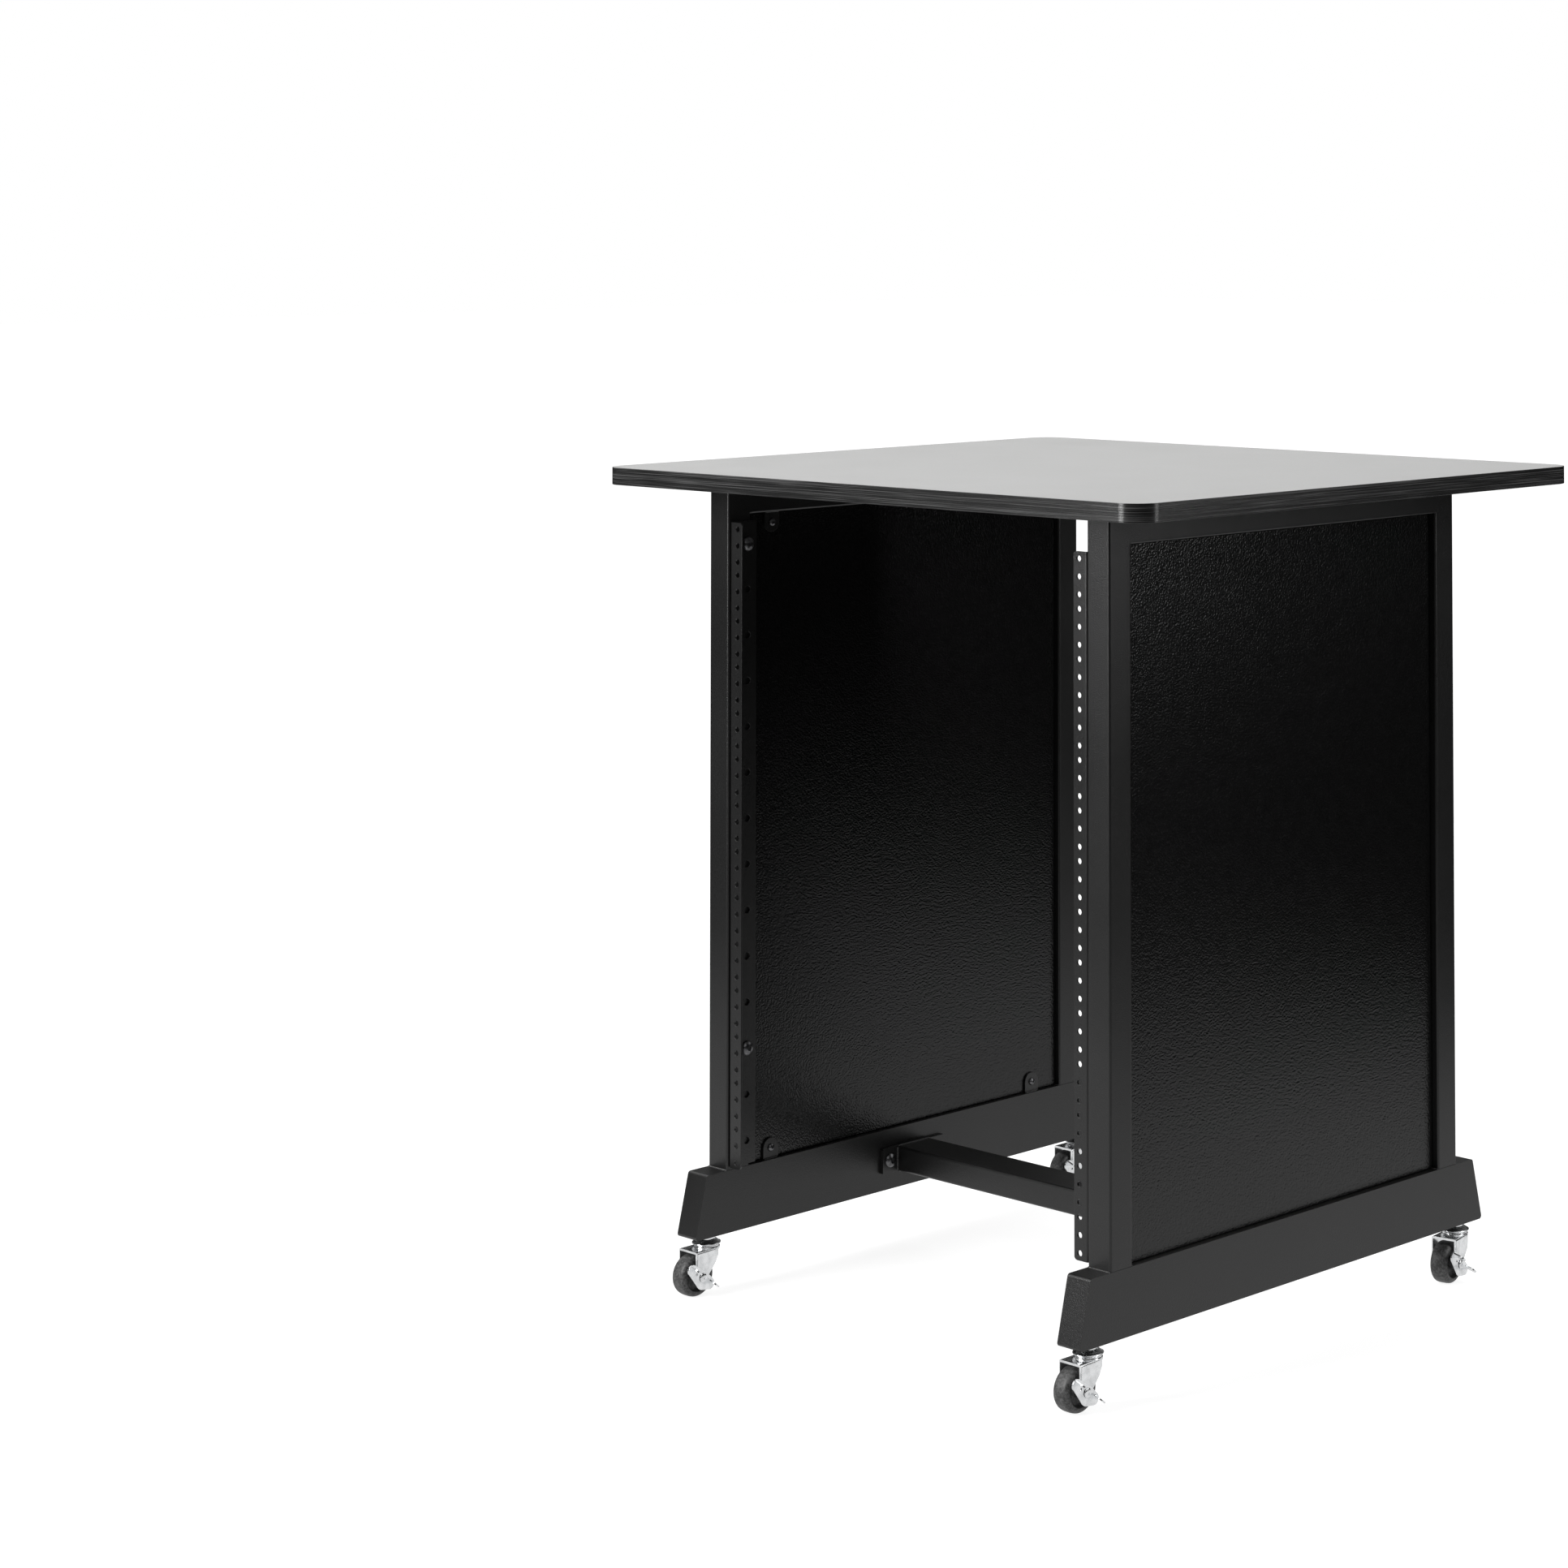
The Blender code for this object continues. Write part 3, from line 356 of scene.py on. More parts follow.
def rounded(corners: Sequence[Flat], radius: float, steps: int = 6) -> list[Flat]:
    """Round the corners of an outline.

    Args:
        corners: The outline, anticlockwise. Corners may turn either way.
        radius: The radius of every corner.
        steps: How many straight lines stand for each.

    Returns:
        The outline with its round corners.
    """
    points: list[Flat] = []
    for i, corner in enumerate(corners):
        here = Vector(corner)
        back = (Vector(corners[i - 1]) - here).normalized()
        ahead = (Vector(corners[(i + 1) % len(corners)]) - here).normalized()
        half = back.angle(ahead) / 2
        way = 1.0 if back.x * ahead.y - back.y * ahead.x < 0.0 else -1.0
        centre = here + (back + ahead).normalized() * (radius / math.sin(half))
        start = here + back * (radius / math.tan(half)) - centre
        for step in range(steps + 1):
            spoke = Matrix.Rotation(way * (math.pi - 2 * half) * step / steps, 2) @ start
            points.append(tuple(centre + spoke))
    return points


def rectangle(width: float, height: float) -> list[Flat]:
    """The corners of a rectangle about the origin, anticlockwise."""
    x, y = width / 2, height / 2
    return [(-x, -y), (x, -y), (x, y), (-x, y)]


def hull(points: Iterable[Flat]) -> list[Flat]:
    """The convex outline round some points, anticlockwise."""
    def half(ordered: Sequence[Flat]) -> list[Flat]:
        """One side of the outline, without its last point."""
        side: list[Flat] = []
        for c in ordered:
            while len(side) > 1:
                a, b = side[-2], side[-1]
                if (b[0] - a[0]) * (c[1] - a[1]) - (b[1] - a[1]) * (c[0] - a[0]) > 0.0:
                    break
                side.pop()
            side.append(c)
        return side[:-1]

    ordered = sorted(points)
    return half(ordered) + half(ordered[::-1])


def prism(outlines: Sequence[Sequence[Flat]], thickness: float, plane: Plane = Plane.FLOOR) -> Mesh:
    """Extrude a flat outline evenly to both sides of its plane.

    Args:
        outlines: The outline, followed by its holes.
        thickness: How thick the result is.
        plane: The plane that the outline is drawn in.

    Returns:
        A closed mesh.
    """
    data = bpy.data.curves.new("outline", "CURVE")
    data.dimensions = "2D"
    data.fill_mode = "BOTH"
    data.extrude = thickness / 2
    for outline in outlines:
        spline = data.splines.new("POLY")
        spline.points.add(len(outline) - 1)
        spline.use_cyclic_u = True
        for point, (x, y) in zip(spline.points, outline):
            point.co = (x, y, 0.0, 1.0)
    mesh = settle(placed("outline", data))
    mesh.transform(plane.value)
    return weld(mesh)


def turned(profile: Sequence[Flat], segments: int, closed: bool = False) -> Mesh:
    """Turn a profile about Z.

    Args:
        profile: Its (radius, height) points.
        segments: How many facets go round.
        closed: Whether the profile joins up with its own start, as in a ring.

    Returns:
        The turned mesh.
    """
    bm = bmesh.new()
    rings = []
    for j in range(segments):
        a = 2 * math.pi * j / segments
        rings.append([bm.verts.new((r * math.cos(a), r * math.sin(a), z)) for r, z in profile])
    last = len(profile) if closed else len(profile) - 1
    for here, there in zip(rings, rings[1:] + rings[:1]):
        for i in range(last):
            k = (i + 1) % len(profile)
            bm.faces.new((here[i], here[k], there[k], there[i]))
    bmesh.ops.remove_doubles(bm, verts=bm.verts, dist=1e-7)
    bmesh.ops.dissolve_degenerate(bm, edges=bm.edges, dist=1e-8)
    bmesh.ops.recalc_face_normals(bm, faces=bm.faces)
    return emptied(bm, "turned")


def joined(parts: Iterable[tuple[Mesh, Matrix]]) -> Mesh:
    """Return one mesh of several, each copied to its place."""
    bm = bmesh.new()
    for mesh, place in parts:
        first = len(bm.verts)
        bm.from_mesh(mesh)
        bm.verts.ensure_lookup_table()
        bmesh.ops.transform(bm, matrix=place, verts=bm.verts[first:])
    return emptied(bm, "joined")


def modified(mesh: Mesh, kind: str, **settings: Any) -> Mesh:
    """Use a modifier on a mesh.

    Args:
        mesh: The mesh to start from.
        kind: The modifier's type name.
        settings: Its own properties.

    Returns:
        The mesh that comes out.
    """
    guide = placed("guide", mesh)
    modifier = guide.modifiers.new("tool", kind)
    for name, value in settings.items():
        setattr(modifier, name, value)
    return settle(guide)


def carved(mesh: Mesh, *steps: tuple[str, Mesh]) -> Mesh:
    """Unite, cut or intersect a mesh with others, one after the other.

    Args:
        mesh: The mesh to start from.
        steps: The operation (UNION, DIFFERENCE or INTERSECT) and the other mesh of each step.

    Returns:
        The mesh that comes out.
    """
    for operation, other in steps:
        helper = placed("helper", other)
        mesh = modified(mesh, "BOOLEAN", operation=operation, solver="EXACT", object=helper)
        bpy.data.objects.remove(helper, do_unlink=True)
    return mesh


def softened(mesh: Mesh, width: float, segments: int = 2, angle: float = 40.0) -> Mesh:
    """Round the edges of a mesh that are sharper than an angle.

    Args:
        mesh: The mesh to round.
        width: How far the rounding reaches from an edge.
        segments: Its facets.
        angle: The least angle between two faces that is rounded, in degrees.

    Returns:
        A new mesh.
    """
    least = math.radians(angle)
    return modified(mesh, "BEVEL", width=width, segments=segments, limit_method="ANGLE", angle_limit=least)


def moved(mesh: Mesh, place: Matrix) -> Mesh:
    """Return a copy of a mesh at another place."""
    copy = mesh.copy()
    copy.transform(place)
    return copy


def shift(x: float = 0.0, y: float = 0.0, z: float = 0.0) -> Matrix:
    """The matrix of a plain move."""
    return Matrix.Translation((x, y, z))


# Finishes

@dataclass(frozen=True)
class Finish:
    """A procedural surface. Each kind paints its own shader, and carries the name of its slot."""

    name: str
    slot: str | None = None

    def material(self) -> bpy.types.Material:
        """Return the finish's material, made when it is first asked for."""
        material = bpy.data.materials.get(self.name)
        if material is None:
            material = bpy.data.materials.new(self.name)
            material.use_nodes = True
            graph = Graph(material.node_tree)
            graph.feed(material.node_tree.nodes["Principled BSDF"], self.paint(graph))
        return material

    def paint(self, graph: Graph) -> Inputs:
        """Write the finish's nodes.

        Args:
            graph: The material's tree.

        Returns:
            What goes into the shader's inputs, by their names.
        """
        raise NotImplementedError


@dataclass(frozen=True)
class Laminate(Finish):
    """Light grey pressed laminate with a faint cloud and a fine pepper."""

    shade: float = 0.32
    roughness: float = 0.55
    specular: float = 0.25
    clouds: float = 14.0
    grains: float = 1100.0
    cloud_share: float = 0.35
    relief: float = 0.00006

    def paint(self, graph: Graph) -> Inputs:
        """See Finish.paint."""
        where = graph.place()
        cloud = graph.noise(where, self.clouds, 4.0)
        pepper = graph.noise(where, self.grains, 2.0, 0.7)
        s = self.shade
        stops = [(0.36, (s * 0.93, s * 0.93, s * 0.92)), (0.64, (s * 1.06, s * 1.06, s * 1.055))]
        return {
            "Base Color": graph.ramp(graph.blend(cloud, pepper, self.cloud_share), stops),
            "Roughness": graph.span(cloud, self.roughness - 0.05, self.roughness + 0.06),
            "Specular IOR Level": self.specular,
            "Normal": graph.bump(pepper, self.relief, 0.5),
        }


@dataclass(frozen=True)
class GrainedEdge(Finish):
    """The dark edge band, with level grain along the board's rim.

    The piece's map holds the way along the rim and the height over the band's lower edge, in metres.
    The broad and the fine grain are given as their features to the metre along both.
    """

    dark: float = 0.007
    light: float = 0.045
    broad: Flat = (2.5, 950.0)
    fine: Flat = (16.0, 2100.0)
    broad_share: float = 0.55
    relief: float = 0.00015

    def paint(self, graph: Graph) -> Inputs:
        """See Finish.paint."""
        layers = [graph.noise(graph.place((*size, 1.0), "UV"), 1.0, 1.0) for size in (self.broad, self.fine)]
        grain = graph.blend(*layers, self.broad_share)
        stops = [(0.42, self.dark), (0.50, self.light * 0.35), (0.56, self.light), (0.62, self.light * 1.8)]
        return {
            "Base Color": graph.ramp(grain, stops),
            "Roughness": graph.span(grain, 0.30, 0.17),
            "Normal": graph.bump(grain, self.relief, 0.6),
        }


@dataclass(frozen=True)
class PebbledBoard(Finish):
    """Black board face with a fine pebble grain."""

    shade: float = 0.0035
    roughness: float = 0.21
    specular: float = 0.4
    pebbles: float = 600.0
    drifts: float = 60.0
    relief: float = 0.00022

    def paint(self, graph: Graph) -> Inputs:
        """See Finish.paint."""
        where = graph.place()
        cells = {"Vector": where, "Scale": self.pebbles, "Smoothness": 0.65, "Randomness": 1.0}
        pebble = graph.shader("TexVoronoi", cells, feature="SMOOTH_F1")
        worn = graph.span(pebble, -0.03, 0.05)
        drift = graph.span(graph.noise(where, self.drifts), -0.03, 0.03)
        return {
            # The colour is lighter on the raised pebble tops and darker in the hollows between them: painted
            # shade in the hollows.
            "Base Color": graph.ramp(pebble, [(0.10, self.shade * 1.5), (0.55, self.shade * 0.6)]),
            "Roughness": graph.total(worn, drift, self.roughness),
            "Specular IOR Level": self.specular,
            "Normal": graph.bump(graph.math("SUBTRACT", 1.0, pebble), self.relief),
        }


@dataclass(frozen=True)
class PowderCoat(Finish):
    """Satin black powder coat: a fine orange peel with sparse lighter specks."""

    shade: float = 0.008
    roughness: float = 0.30
    dimples: float = 900.0
    specks: float = 2600.0
    drifts: float = 7.0
    drift_share: float = 0.35
    relief: float = 0.00020

    def paint(self, graph: Graph) -> Inputs:
        """See Finish.paint."""
        where = graph.place()
        peel = graph.noise(where, self.dimples, 2.0, 0.55)
        speck = graph.noise(where, self.specks, 1.0)
        drift = graph.noise(where, self.drifts, 3.0)
        s = self.shade
        stops = [(0.30, s * 0.72), (0.55, s), (0.66, s * 1.5), (0.74, s * 3.2)]
        changes = [graph.span(peel, -0.05, 0.07), graph.span(drift, -0.04, 0.04)]
        return {
            "Base Color": graph.ramp(graph.blend(drift, speck, self.drift_share), stops),
            "Roughness": graph.total(*changes, self.roughness),
            "Normal": graph.bump(peel, self.relief, 0.8),
        }


@dataclass(frozen=True)
class Plating(Finish):
    """Plated steel: bright or black, with faint clouds and fine drawing lines."""

    bright: Point = (0.88, 0.89, 0.90)
    dull: Point = (0.70, 0.71, 0.72)
    low: float = 0.13
    high: float = 0.30
    clouds: float = 130.0
    lines: Point = (900.0, 900.0, 5200.0)
    relief: float = 0.00002

    def paint(self, graph: Graph) -> Inputs:
        """See Finish.paint."""
        cloud = graph.noise(graph.place(), self.clouds, 3.0, 0.6)
        lines = graph.noise(graph.place(self.lines), 1.0)
        return {
            "Base Color": graph.ramp(cloud, [(0.32, self.dull), (0.62, self.bright)]),
            "Roughness": graph.span(cloud, self.high, self.low),
            "Metallic": 1.0,
            "Normal": graph.bump(lines, self.relief, 0.25),
        }


@dataclass(frozen=True)
class MouldedTread(Finish):
    """Hard black wheel moulding with a mottled bloom on its tread."""

    shade: float = 0.022
    bloom: float = 0.11
    mottles: float = 420.0
    relief: float = 0.00006

    def paint(self, graph: Graph) -> Inputs:
        """See Finish.paint."""
        mottle = graph.noise(graph.place(), self.mottles, 4.0, 0.65)
        return {
            "Base Color": graph.ramp(mottle, [(0.42, self.shade), (0.70, self.bloom)]),
            "Roughness": graph.span(mottle, 0.36, 0.62),
            "Normal": graph.bump(mottle, self.relief, 0.4),
        }


@dataclass(frozen=True)
class Drape(Finish):
    """Dull black cloth."""

    def paint(self, graph: Graph) -> Inputs:
        """See Finish.paint."""
        return {"Base Color": (0.01, 0.01, 0.01, 1.0), "Roughness": 1.0, "Specular IOR Level": 0.0}


@dataclass(frozen=True)
class Palette:
    """Every finish on the rack."""

    laminate: Finish = Laminate("grey_laminate_face", "grey_laminate")
    edge: Finish = GrainedEdge("dark_grained_edge")
    board: Finish = PebbledBoard("black_pebbled_board")
    coat: Finish = PowderCoat("black_powder_coat", "black_steel")
    # The beads' coat is painted lighter than the frame's (shade 0.05 against 0.008): a painted highlight
    # along each weld.
    bead: Finish = PowderCoat("coated_weld_bead", "black_steel", shade=0.05)
    screw: Finish = Plating(
        "black_plated_screw", "black_screw", (0.16, 0.16, 0.165), (0.06, 0.06, 0.063), 0.22, 0.40
    )
    zinc: Finish = Plating("bright_zinc_plate", "zinc")
    wheel: Finish = MouldedTread("black_moulded_wheel", "black_rubber")


PALETTE = Palette()


# Pieces

def piece(
    name: str,
    mesh: Mesh,
    *finishes: Finish,
    body: str = ROOT,
    stands_for: Sequence[str] = (),
    crease: float = 38.0,
) -> None:
    """Add one finished piece to the rack.

    Args:
        name: The piece's name.
        mesh: Its mesh, in the place where it belongs.
        finishes: Its finishes, in the order of its faces' material numbers.
        body: The body of the frame that it moves with.
        stands_for: The solids that it shows in place of.
        crease: The least angle that stays a crisp edge, in degrees.
    """
    mesh.shade_smooth()
    mesh.set_sharp_from_angle(angle=math.radians(crease))
    mesh = modified(mesh, "WEIGHTED_NORMAL", keep_sharp=True)
    mesh.name = name
    if mesh.materials:
        mesh.materials.clear()
    for finish in finishes:
        mesh.materials.append(finish.material())
    obj = placed(name, mesh)
    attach(obj, body)
    if stands_for:
        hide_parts(*stands_for)
    LOG.info("%s rides on %s: %d faces", name, body, len(mesh.polygons))


def dress(node: str, finish: Finish) -> None:
    """Cover a solid of the frame, by its name, with a finish."""
    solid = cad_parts[node]
    if not solid.material_slots:
        solid.data.materials.append(finish.material())
    for slot in solid.material_slots:
        slot.material = finish.material()
    LOG.info("%s keeps its solid, in %s", node, finish.name)


@dataclass(frozen=True)
class Fastener:
    """A domed screw, bolt or rivet.

    The head and the shank are given as radius and length, and the recess as the width of its arms
    and its depth.
    """

    head: Flat
    shank: Flat
    recess: Flat
    drive: Drive = Drive.CROSS


@dataclass
class FastenerRow:
    """Like fasteners on their seats: the middle of each head's seat, and the way that the head faces."""

    name: str
    size: Fastener
    seats: Sequence[Pair]
    finish: Finish = PALETTE.screw

    def mesh(self) -> Mesh:
        """Make the row in Geometry Nodes, as one mesh."""
        tool = GeometryTool(f"{self.name}_tool")
        graph = tool.graph
        radius, height, shank, reach, arms, width, depth = tool.numbers({
            "Head radius": self.size.head[0],
            "Head height": self.size.head[1],
            "Shank radius": self.size.shank[0],
            "Reach": self.size.shank[1],
            "Drive arms": self.size.drive.value,
            "Drive width": self.size.recess[0],
            "Drive depth": self.size.recess[1],
        })
        ball = graph.geometry("MeshUVSphere", {"Segments": 32, "Rings": 16, "Radius": 1.0})
        spot = graph.spot()
        lift = graph.times(graph.math("MAXIMUM", spot["Z"], 0.0), height)
        dome = graph.vector(graph.times(spot["X"], radius), graph.times(spot["Y"], radius), lift)
        head = graph.geometry("SetPosition", {"Geometry": ball, "Position": dome})
        head = graph.geometry("MergeByDistance", {"Geometry": head, "Distance": 1e-7})

        size = graph.vector(graph.times(width, math.sqrt(3.0)), width, graph.times(depth, 2.0))
        bar = graph.geometry("MeshCube", {"Size": size})
        line = graph.geometry("MeshLine", {"Count": arms, "Offset": (0.0, 0.0, 0.0)})
        angle = graph.times(graph.math("DIVIDE", graph.geometry("InputIndex"), arms), math.pi)
        arm = {"Points": line, "Instance": bar, "Rotation": graph.vector(z=angle)}
        star = graph.geometry("RealizeInstances", {0: graph.geometry("InstanceOnPoints", arm)})
        star = graph.geometry("Transform", {"Geometry": star, "Translation": graph.vector(z=height)})
        cut = {"Mesh 1": head, "Mesh 2": star, "Self Intersection": True}
        head = graph.geometry("MeshBoolean", cut, operation="DIFFERENCE", solver="EXACT")

        rod = graph.geometry("MeshCylinder", {"Vertices": 20, "Radius": shank, "Depth": reach})
        drop = graph.vector(z=graph.times(reach, -0.5))
        whole = graph.join([head, graph.geometry("Transform", {"Geometry": rod, "Translation": drop})])
        aim = graph.geometry("InputNamedAttribute", {"Name": "aim"}, data_type="FLOAT_VECTOR")
        facing = graph.add("FunctionNodeAlignRotationToVector", {"Vector": aim}, axis="Z").outputs[0]
        points = {"Points": tool.entry.outputs[0], "Instance": whole, "Rotation": facing}
        row = graph.geometry("InstanceOnPoints", points)

        seeds = bpy.data.meshes.new("seats")
        seeds.from_pydata([tuple(where) for where, _ in self.seats], [], [])
        aims = seeds.attributes.new("aim", "FLOAT_VECTOR", "POINT")
        for item, (_, way) in zip(aims.data, self.seats):
            item.vector = way
        return tool.run(row, self.finish.material(), seeds)

    def build(self, *nodes: str, body: str = ROOT) -> None:
        """Show the row in place of its solids.

        Args:
            nodes: The solids that the row stands for.
            body: The body that it moves with.
        """
        piece(self.name, self.mesh(), self.finish, body=body, stands_for=nodes)


@dataclass
class WeldBeads:
    """Rippled weld beads along straight seams, each given by its two ends."""

    name: str
    seams: Sequence[Pair]
    seed: int
    radius: float = 0.0011
    pitch: float = 0.0011

    def mesh(self) -> Mesh:
        """Make the beads in Geometry Nodes: a row of flat drops along each seam, a little uneven."""
        tool = GeometryTool(f"{self.name}_tool")
        graph = tool.graph
        sizes = {"Bead radius": self.radius, "Ripple pitch": self.pitch, "Seed": self.seed}
        radius, pitch, seed = tool.numbers(sizes)
        path = graph.geometry("MeshToCurve", {0: tool.entry.outputs[0]})
        spread = {"Curve": path, "Length": pitch}
        steps = graph.add("GeometryNodeCurveToPoints", spread, mode="LENGTH").outputs
        drop = graph.geometry("MeshUVSphere", {"Segments": 10, "Rings": 6, "Radius": radius})
        size = graph.add("FunctionNodeRandomValue", {2: 0.80, 3: 1.12, "Seed": seed}, data_type="FLOAT")
        beads = graph.geometry("InstanceOnPoints", {
            "Points": steps[0], "Instance": drop, "Rotation": steps["Rotation"], "Scale": size.outputs[1],
        })
        lines = bpy.data.meshes.new("seams")
        points = [tuple(p) for seam in self.seams for p in seam]
        lines.from_pydata(points, [(i, i + 1) for i in range(0, len(points), 2)], [])
        return tool.run(beads, PALETTE.bead.material(), lines)

    def build(self) -> None:
        """Lay the beads on the rack."""
        piece(self.name, self.mesh(), PALETTE.bead, crease=180.0)


@dataclass
class TableTop:
    """The laminated board with its grained edge band."""

    width: float = 0.730
    depth: float = 0.618
    thickness: float = 0.017
    bottom: float = 0.7753
    corner: float = 0.025
    arris: float = 0.0005
    screw: Fastener = Fastener(head=(0.0048, 0.0030), shank=(0.0025, 0.0136), recess=(0.0014, 0.0016))

    def mesh(self) -> Mesh:
        """Make the board: faces 0 are laminate and faces 1 are the edge band, with its own map."""
        rim = [Vector(p) for p in rounded(rectangle(self.width, self.depth), self.corner, 18)]
        count = len(rim)
        normals = []
        reach = [0.0]
        for i, here in enumerate(rim):
            ahead = rim[(i + 1) % count] - here
            run = ahead.normalized() + (here - rim[i - 1]).normalized()
            normals.append(Vector((run.y, -run.x)).normalized())
            reach.append(reach[-1] + ahead.length)
        section = arc((self.arris, self.bottom + self.arris), self.arris, 270.0, 180.0, 4)
        section += arc((self.arris, self.bottom + self.thickness - self.arris), self.arris, 180.0, 90.0, 4)
        bm = bmesh.new()
        layer = bm.loops.layers.uv.new("rim")
        rings = [[bm.verts.new((*(p - n * inset), z)) for p, n in zip(rim, normals)] for inset, z in section]
        for low, high in zip(rings, rings[1:]):
            for i in range(count):
                k = (i + 1) % count
                face = bm.faces.new((low[i], low[k], high[k], high[i]))
                face.material_index = 1
                for loop, u in zip(face.loops, (reach[i], reach[i + 1], reach[i + 1], reach[i])):
                    loop[layer].uv = (u, loop.vert.co.z - self.bottom)
        bm.faces.new(rings[0][::-1])
        bm.faces.new(rings[-1])
        return emptied(bm, "board")

    def build(self) -> None:
        """Show the board and its screws in place of their solids."""
        piece("laminated_table_top", self.mesh(), PALETTE.laminate, PALETTE.edge, stands_for=["table_top"])
        nodes = [f"{s.word}_{e.word}_table_screw" for s in Side for e in End]
        seats = []
        for low, high in map(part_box, nodes):
            seat = ((low[0] + high[0]) / 2, (low[1] + high[1]) / 2, low[2] + self.screw.head[1])
            seats.append((seat, (0.0, 0.0, -1.0)))
        FastenerRow("table_screws", self.screw, seats).build(*nodes)


@dataclass
class SideFrame:
    """One welded frame: two posts, a top rail, a foot beam and the four tabs for its panel."""

    side: Side
    tube: float = 0.028
    wall: float = 0.002
    corner: float = 0.0022
    inner_x: float = 0.244
    front_y: float = -0.249
    rear_y: float = 0.235
    foot_low: float = 0.055
    foot_top: float = 0.115
    post_top: float = 0.775
    foot_reach_low: float = 0.039
    foot_reach_top: float = 0.025
    foot_corner: float = 0.003
    foot_edge: float = 0.0012
    tab_width: float = 0.019
    tab_sheet: float = 0.002
    tab_drop: float = 0.0105
    tab_root: float = 0.001
    tab_hole: float = 0.0025
    tab_places: Flat = (-0.1905, 0.169)
    panel_face_x: float = 0.250
    weld_reach: float = 0.0004
    weld_corner: float = 0.0015
    flush: float = 0.00002
    screw: Fastener = Fastener(head=(0.0038, 0.0024), shank=(0.0020, 0.0116), recess=(0.0011, 0.0014))

    @property
    def middle_x(self) -> float:
        """The frame's middle."""
        return self.side.value * (self.inner_x + self.tube / 2)

    @property
    def rail_low(self) -> float:
        """The top rail's lower side."""
        return self.post_top - self.tube

    @property
    def post_places(self) -> dict[End, float]:
        """The middle of each post along the rack."""
        return {End.FRONT: self.front_y + self.tube / 2, End.REAR: self.rear_y - self.tube / 2}

    def show(self, part: str, label: str, mesh: Mesh) -> None:
        """Show a coated piece in place of a solid of this side.

        Args:
            part: The solid's name without its side.
            label: What the piece's name adds to it.
            mesh: The piece's mesh.
        """
        name = f"{self.side.word}_{part}"
        piece(f"{name}_{label}", mesh, PALETTE.coat, stands_for=[name])

    def section(self) -> list[list[Flat]]:
        """The square tube's section, outside and inside."""
        inside = self.tube - 2 * self.wall
        outer = rounded(rectangle(self.tube, self.tube), self.corner, 7)
        return [outer, rounded(rectangle(inside, inside), self.corner - self.wall, 3)]

    def posts(self) -> None:
        """The two posts, with their tubes open at both ends."""
        length = self.post_top - self.foot_top - GAP
        for end, y in self.post_places.items():
            mesh = moved(prism(self.section(), length), shift(self.middle_x, y, self.post_top - length / 2))
            self.show(f"{end.word}_post", "tube", mesh)

    def tabs(self, edge: float, way: int) -> list[tuple[Mesh, Matrix]]:
        """The two tongues of one level.

        Args:
            edge: The height of the frame's edge that carries them.
            way: Whether they stand up (1) or hang down (-1) from it.

        Returns:
            Each tongue and its place.
        """
        half, middle = self.tab_width / 2, (0.0, self.tab_drop)
        tongue = [(-half, -self.tab_root), (half, -self.tab_root)] + arc(middle, half, 0.0, 180.0, 20)
        tab = softened(prism([tongue, circle(middle, self.tab_hole, 20)], self.tab_sheet, Plane.SIDE), 0.0003)
        turn = Matrix.Rotation(0.0 if way > 0 else math.pi, 4, "X")
        x = self.side.value * (self.panel_face_x - GAP - self.tab_sheet / 2)
        return [(tab, shift(x, y, edge) @ turn) for y in self.tab_places]

    def top_rail(self) -> None:
        """The tube under the table top, with its two hanging tabs."""
        length = self.rear_y - self.front_y - 2 * self.tube - 2 * GAP
        place = shift(self.middle_x, (self.front_y + self.rear_y) / 2, self.post_top - self.tube / 2)
        tube = prism(self.section(), length, Plane.FRONT)
        self.show("top_rail", "tube", joined([(tube, place)] + self.tabs(self.rail_low, -1)))

    def ground_welds(self) -> None:
        """The welds between the posts and the top rail, ground flush with the tubes."""
        reach = self.corner + GAP + self.weld_reach
        face = rectangle(self.tube - 2 * self.flush, self.tube - self.flush)
        block = prism([rounded(face, self.weld_corner, 4)], reach, Plane.FRONT)
        z = self.post_top - self.tube / 2
        inset = (self.corner - GAP - self.weld_reach) / 2
        places = [self.front_y + self.tube - inset, self.rear_y - self.tube + inset]
        mesh = joined([(block, shift(self.middle_x, y, z)) for y in places])
        piece(f"{self.side.word}_ground_welds", mesh, PALETTE.coat)

    def foot_beam(self) -> None:
        """The foot beam, longer at the bottom, with its soft edges and its two standing tabs."""
        low, high = self.foot_reach_low, self.foot_reach_top
        corners = [
            (self.front_y - low, self.foot_low),
            (self.rear_y + low, self.foot_low),
            (self.rear_y + high, self.foot_top),
            (self.front_y - high, self.foot_top),
        ]
        block = prism([rounded(corners, self.foot_corner, 7)], self.tube, Plane.SIDE)
        beam = softened(block, self.foot_edge, 3, 60.0)
        self.show("foot_beam", "shell", joined([(beam, shift(self.middle_x))] + self.tabs(self.foot_top, 1)))

    def beads(self) -> None:
        """Weld beads along the front and back of the posts' feet and along the roots of the tabs."""
        seams = []
        half = self.tube / 2 - 0.0012
        for y in self.post_places.values():
            for way in (-1, 1):
                face_y = y + way * (self.tube / 2 + 0.0001)
                seams.append([(self.middle_x + x, face_y, self.foot_top) for x in (-half, half)])
        x = self.side.value * (self.panel_face_x - GAP - self.tab_sheet)
        run = self.tab_width / 2 - 0.002
        for edge in (self.foot_top, self.rail_low):
            seams += [[(x, y - run, edge), (x, y + run, edge)] for y in self.tab_places]
        name = f"{self.side.word}_frame_weld_beads"
        WeldBeads(name, seams, 11 + self.side.value, radius=0.0009, pitch=0.0010).build()

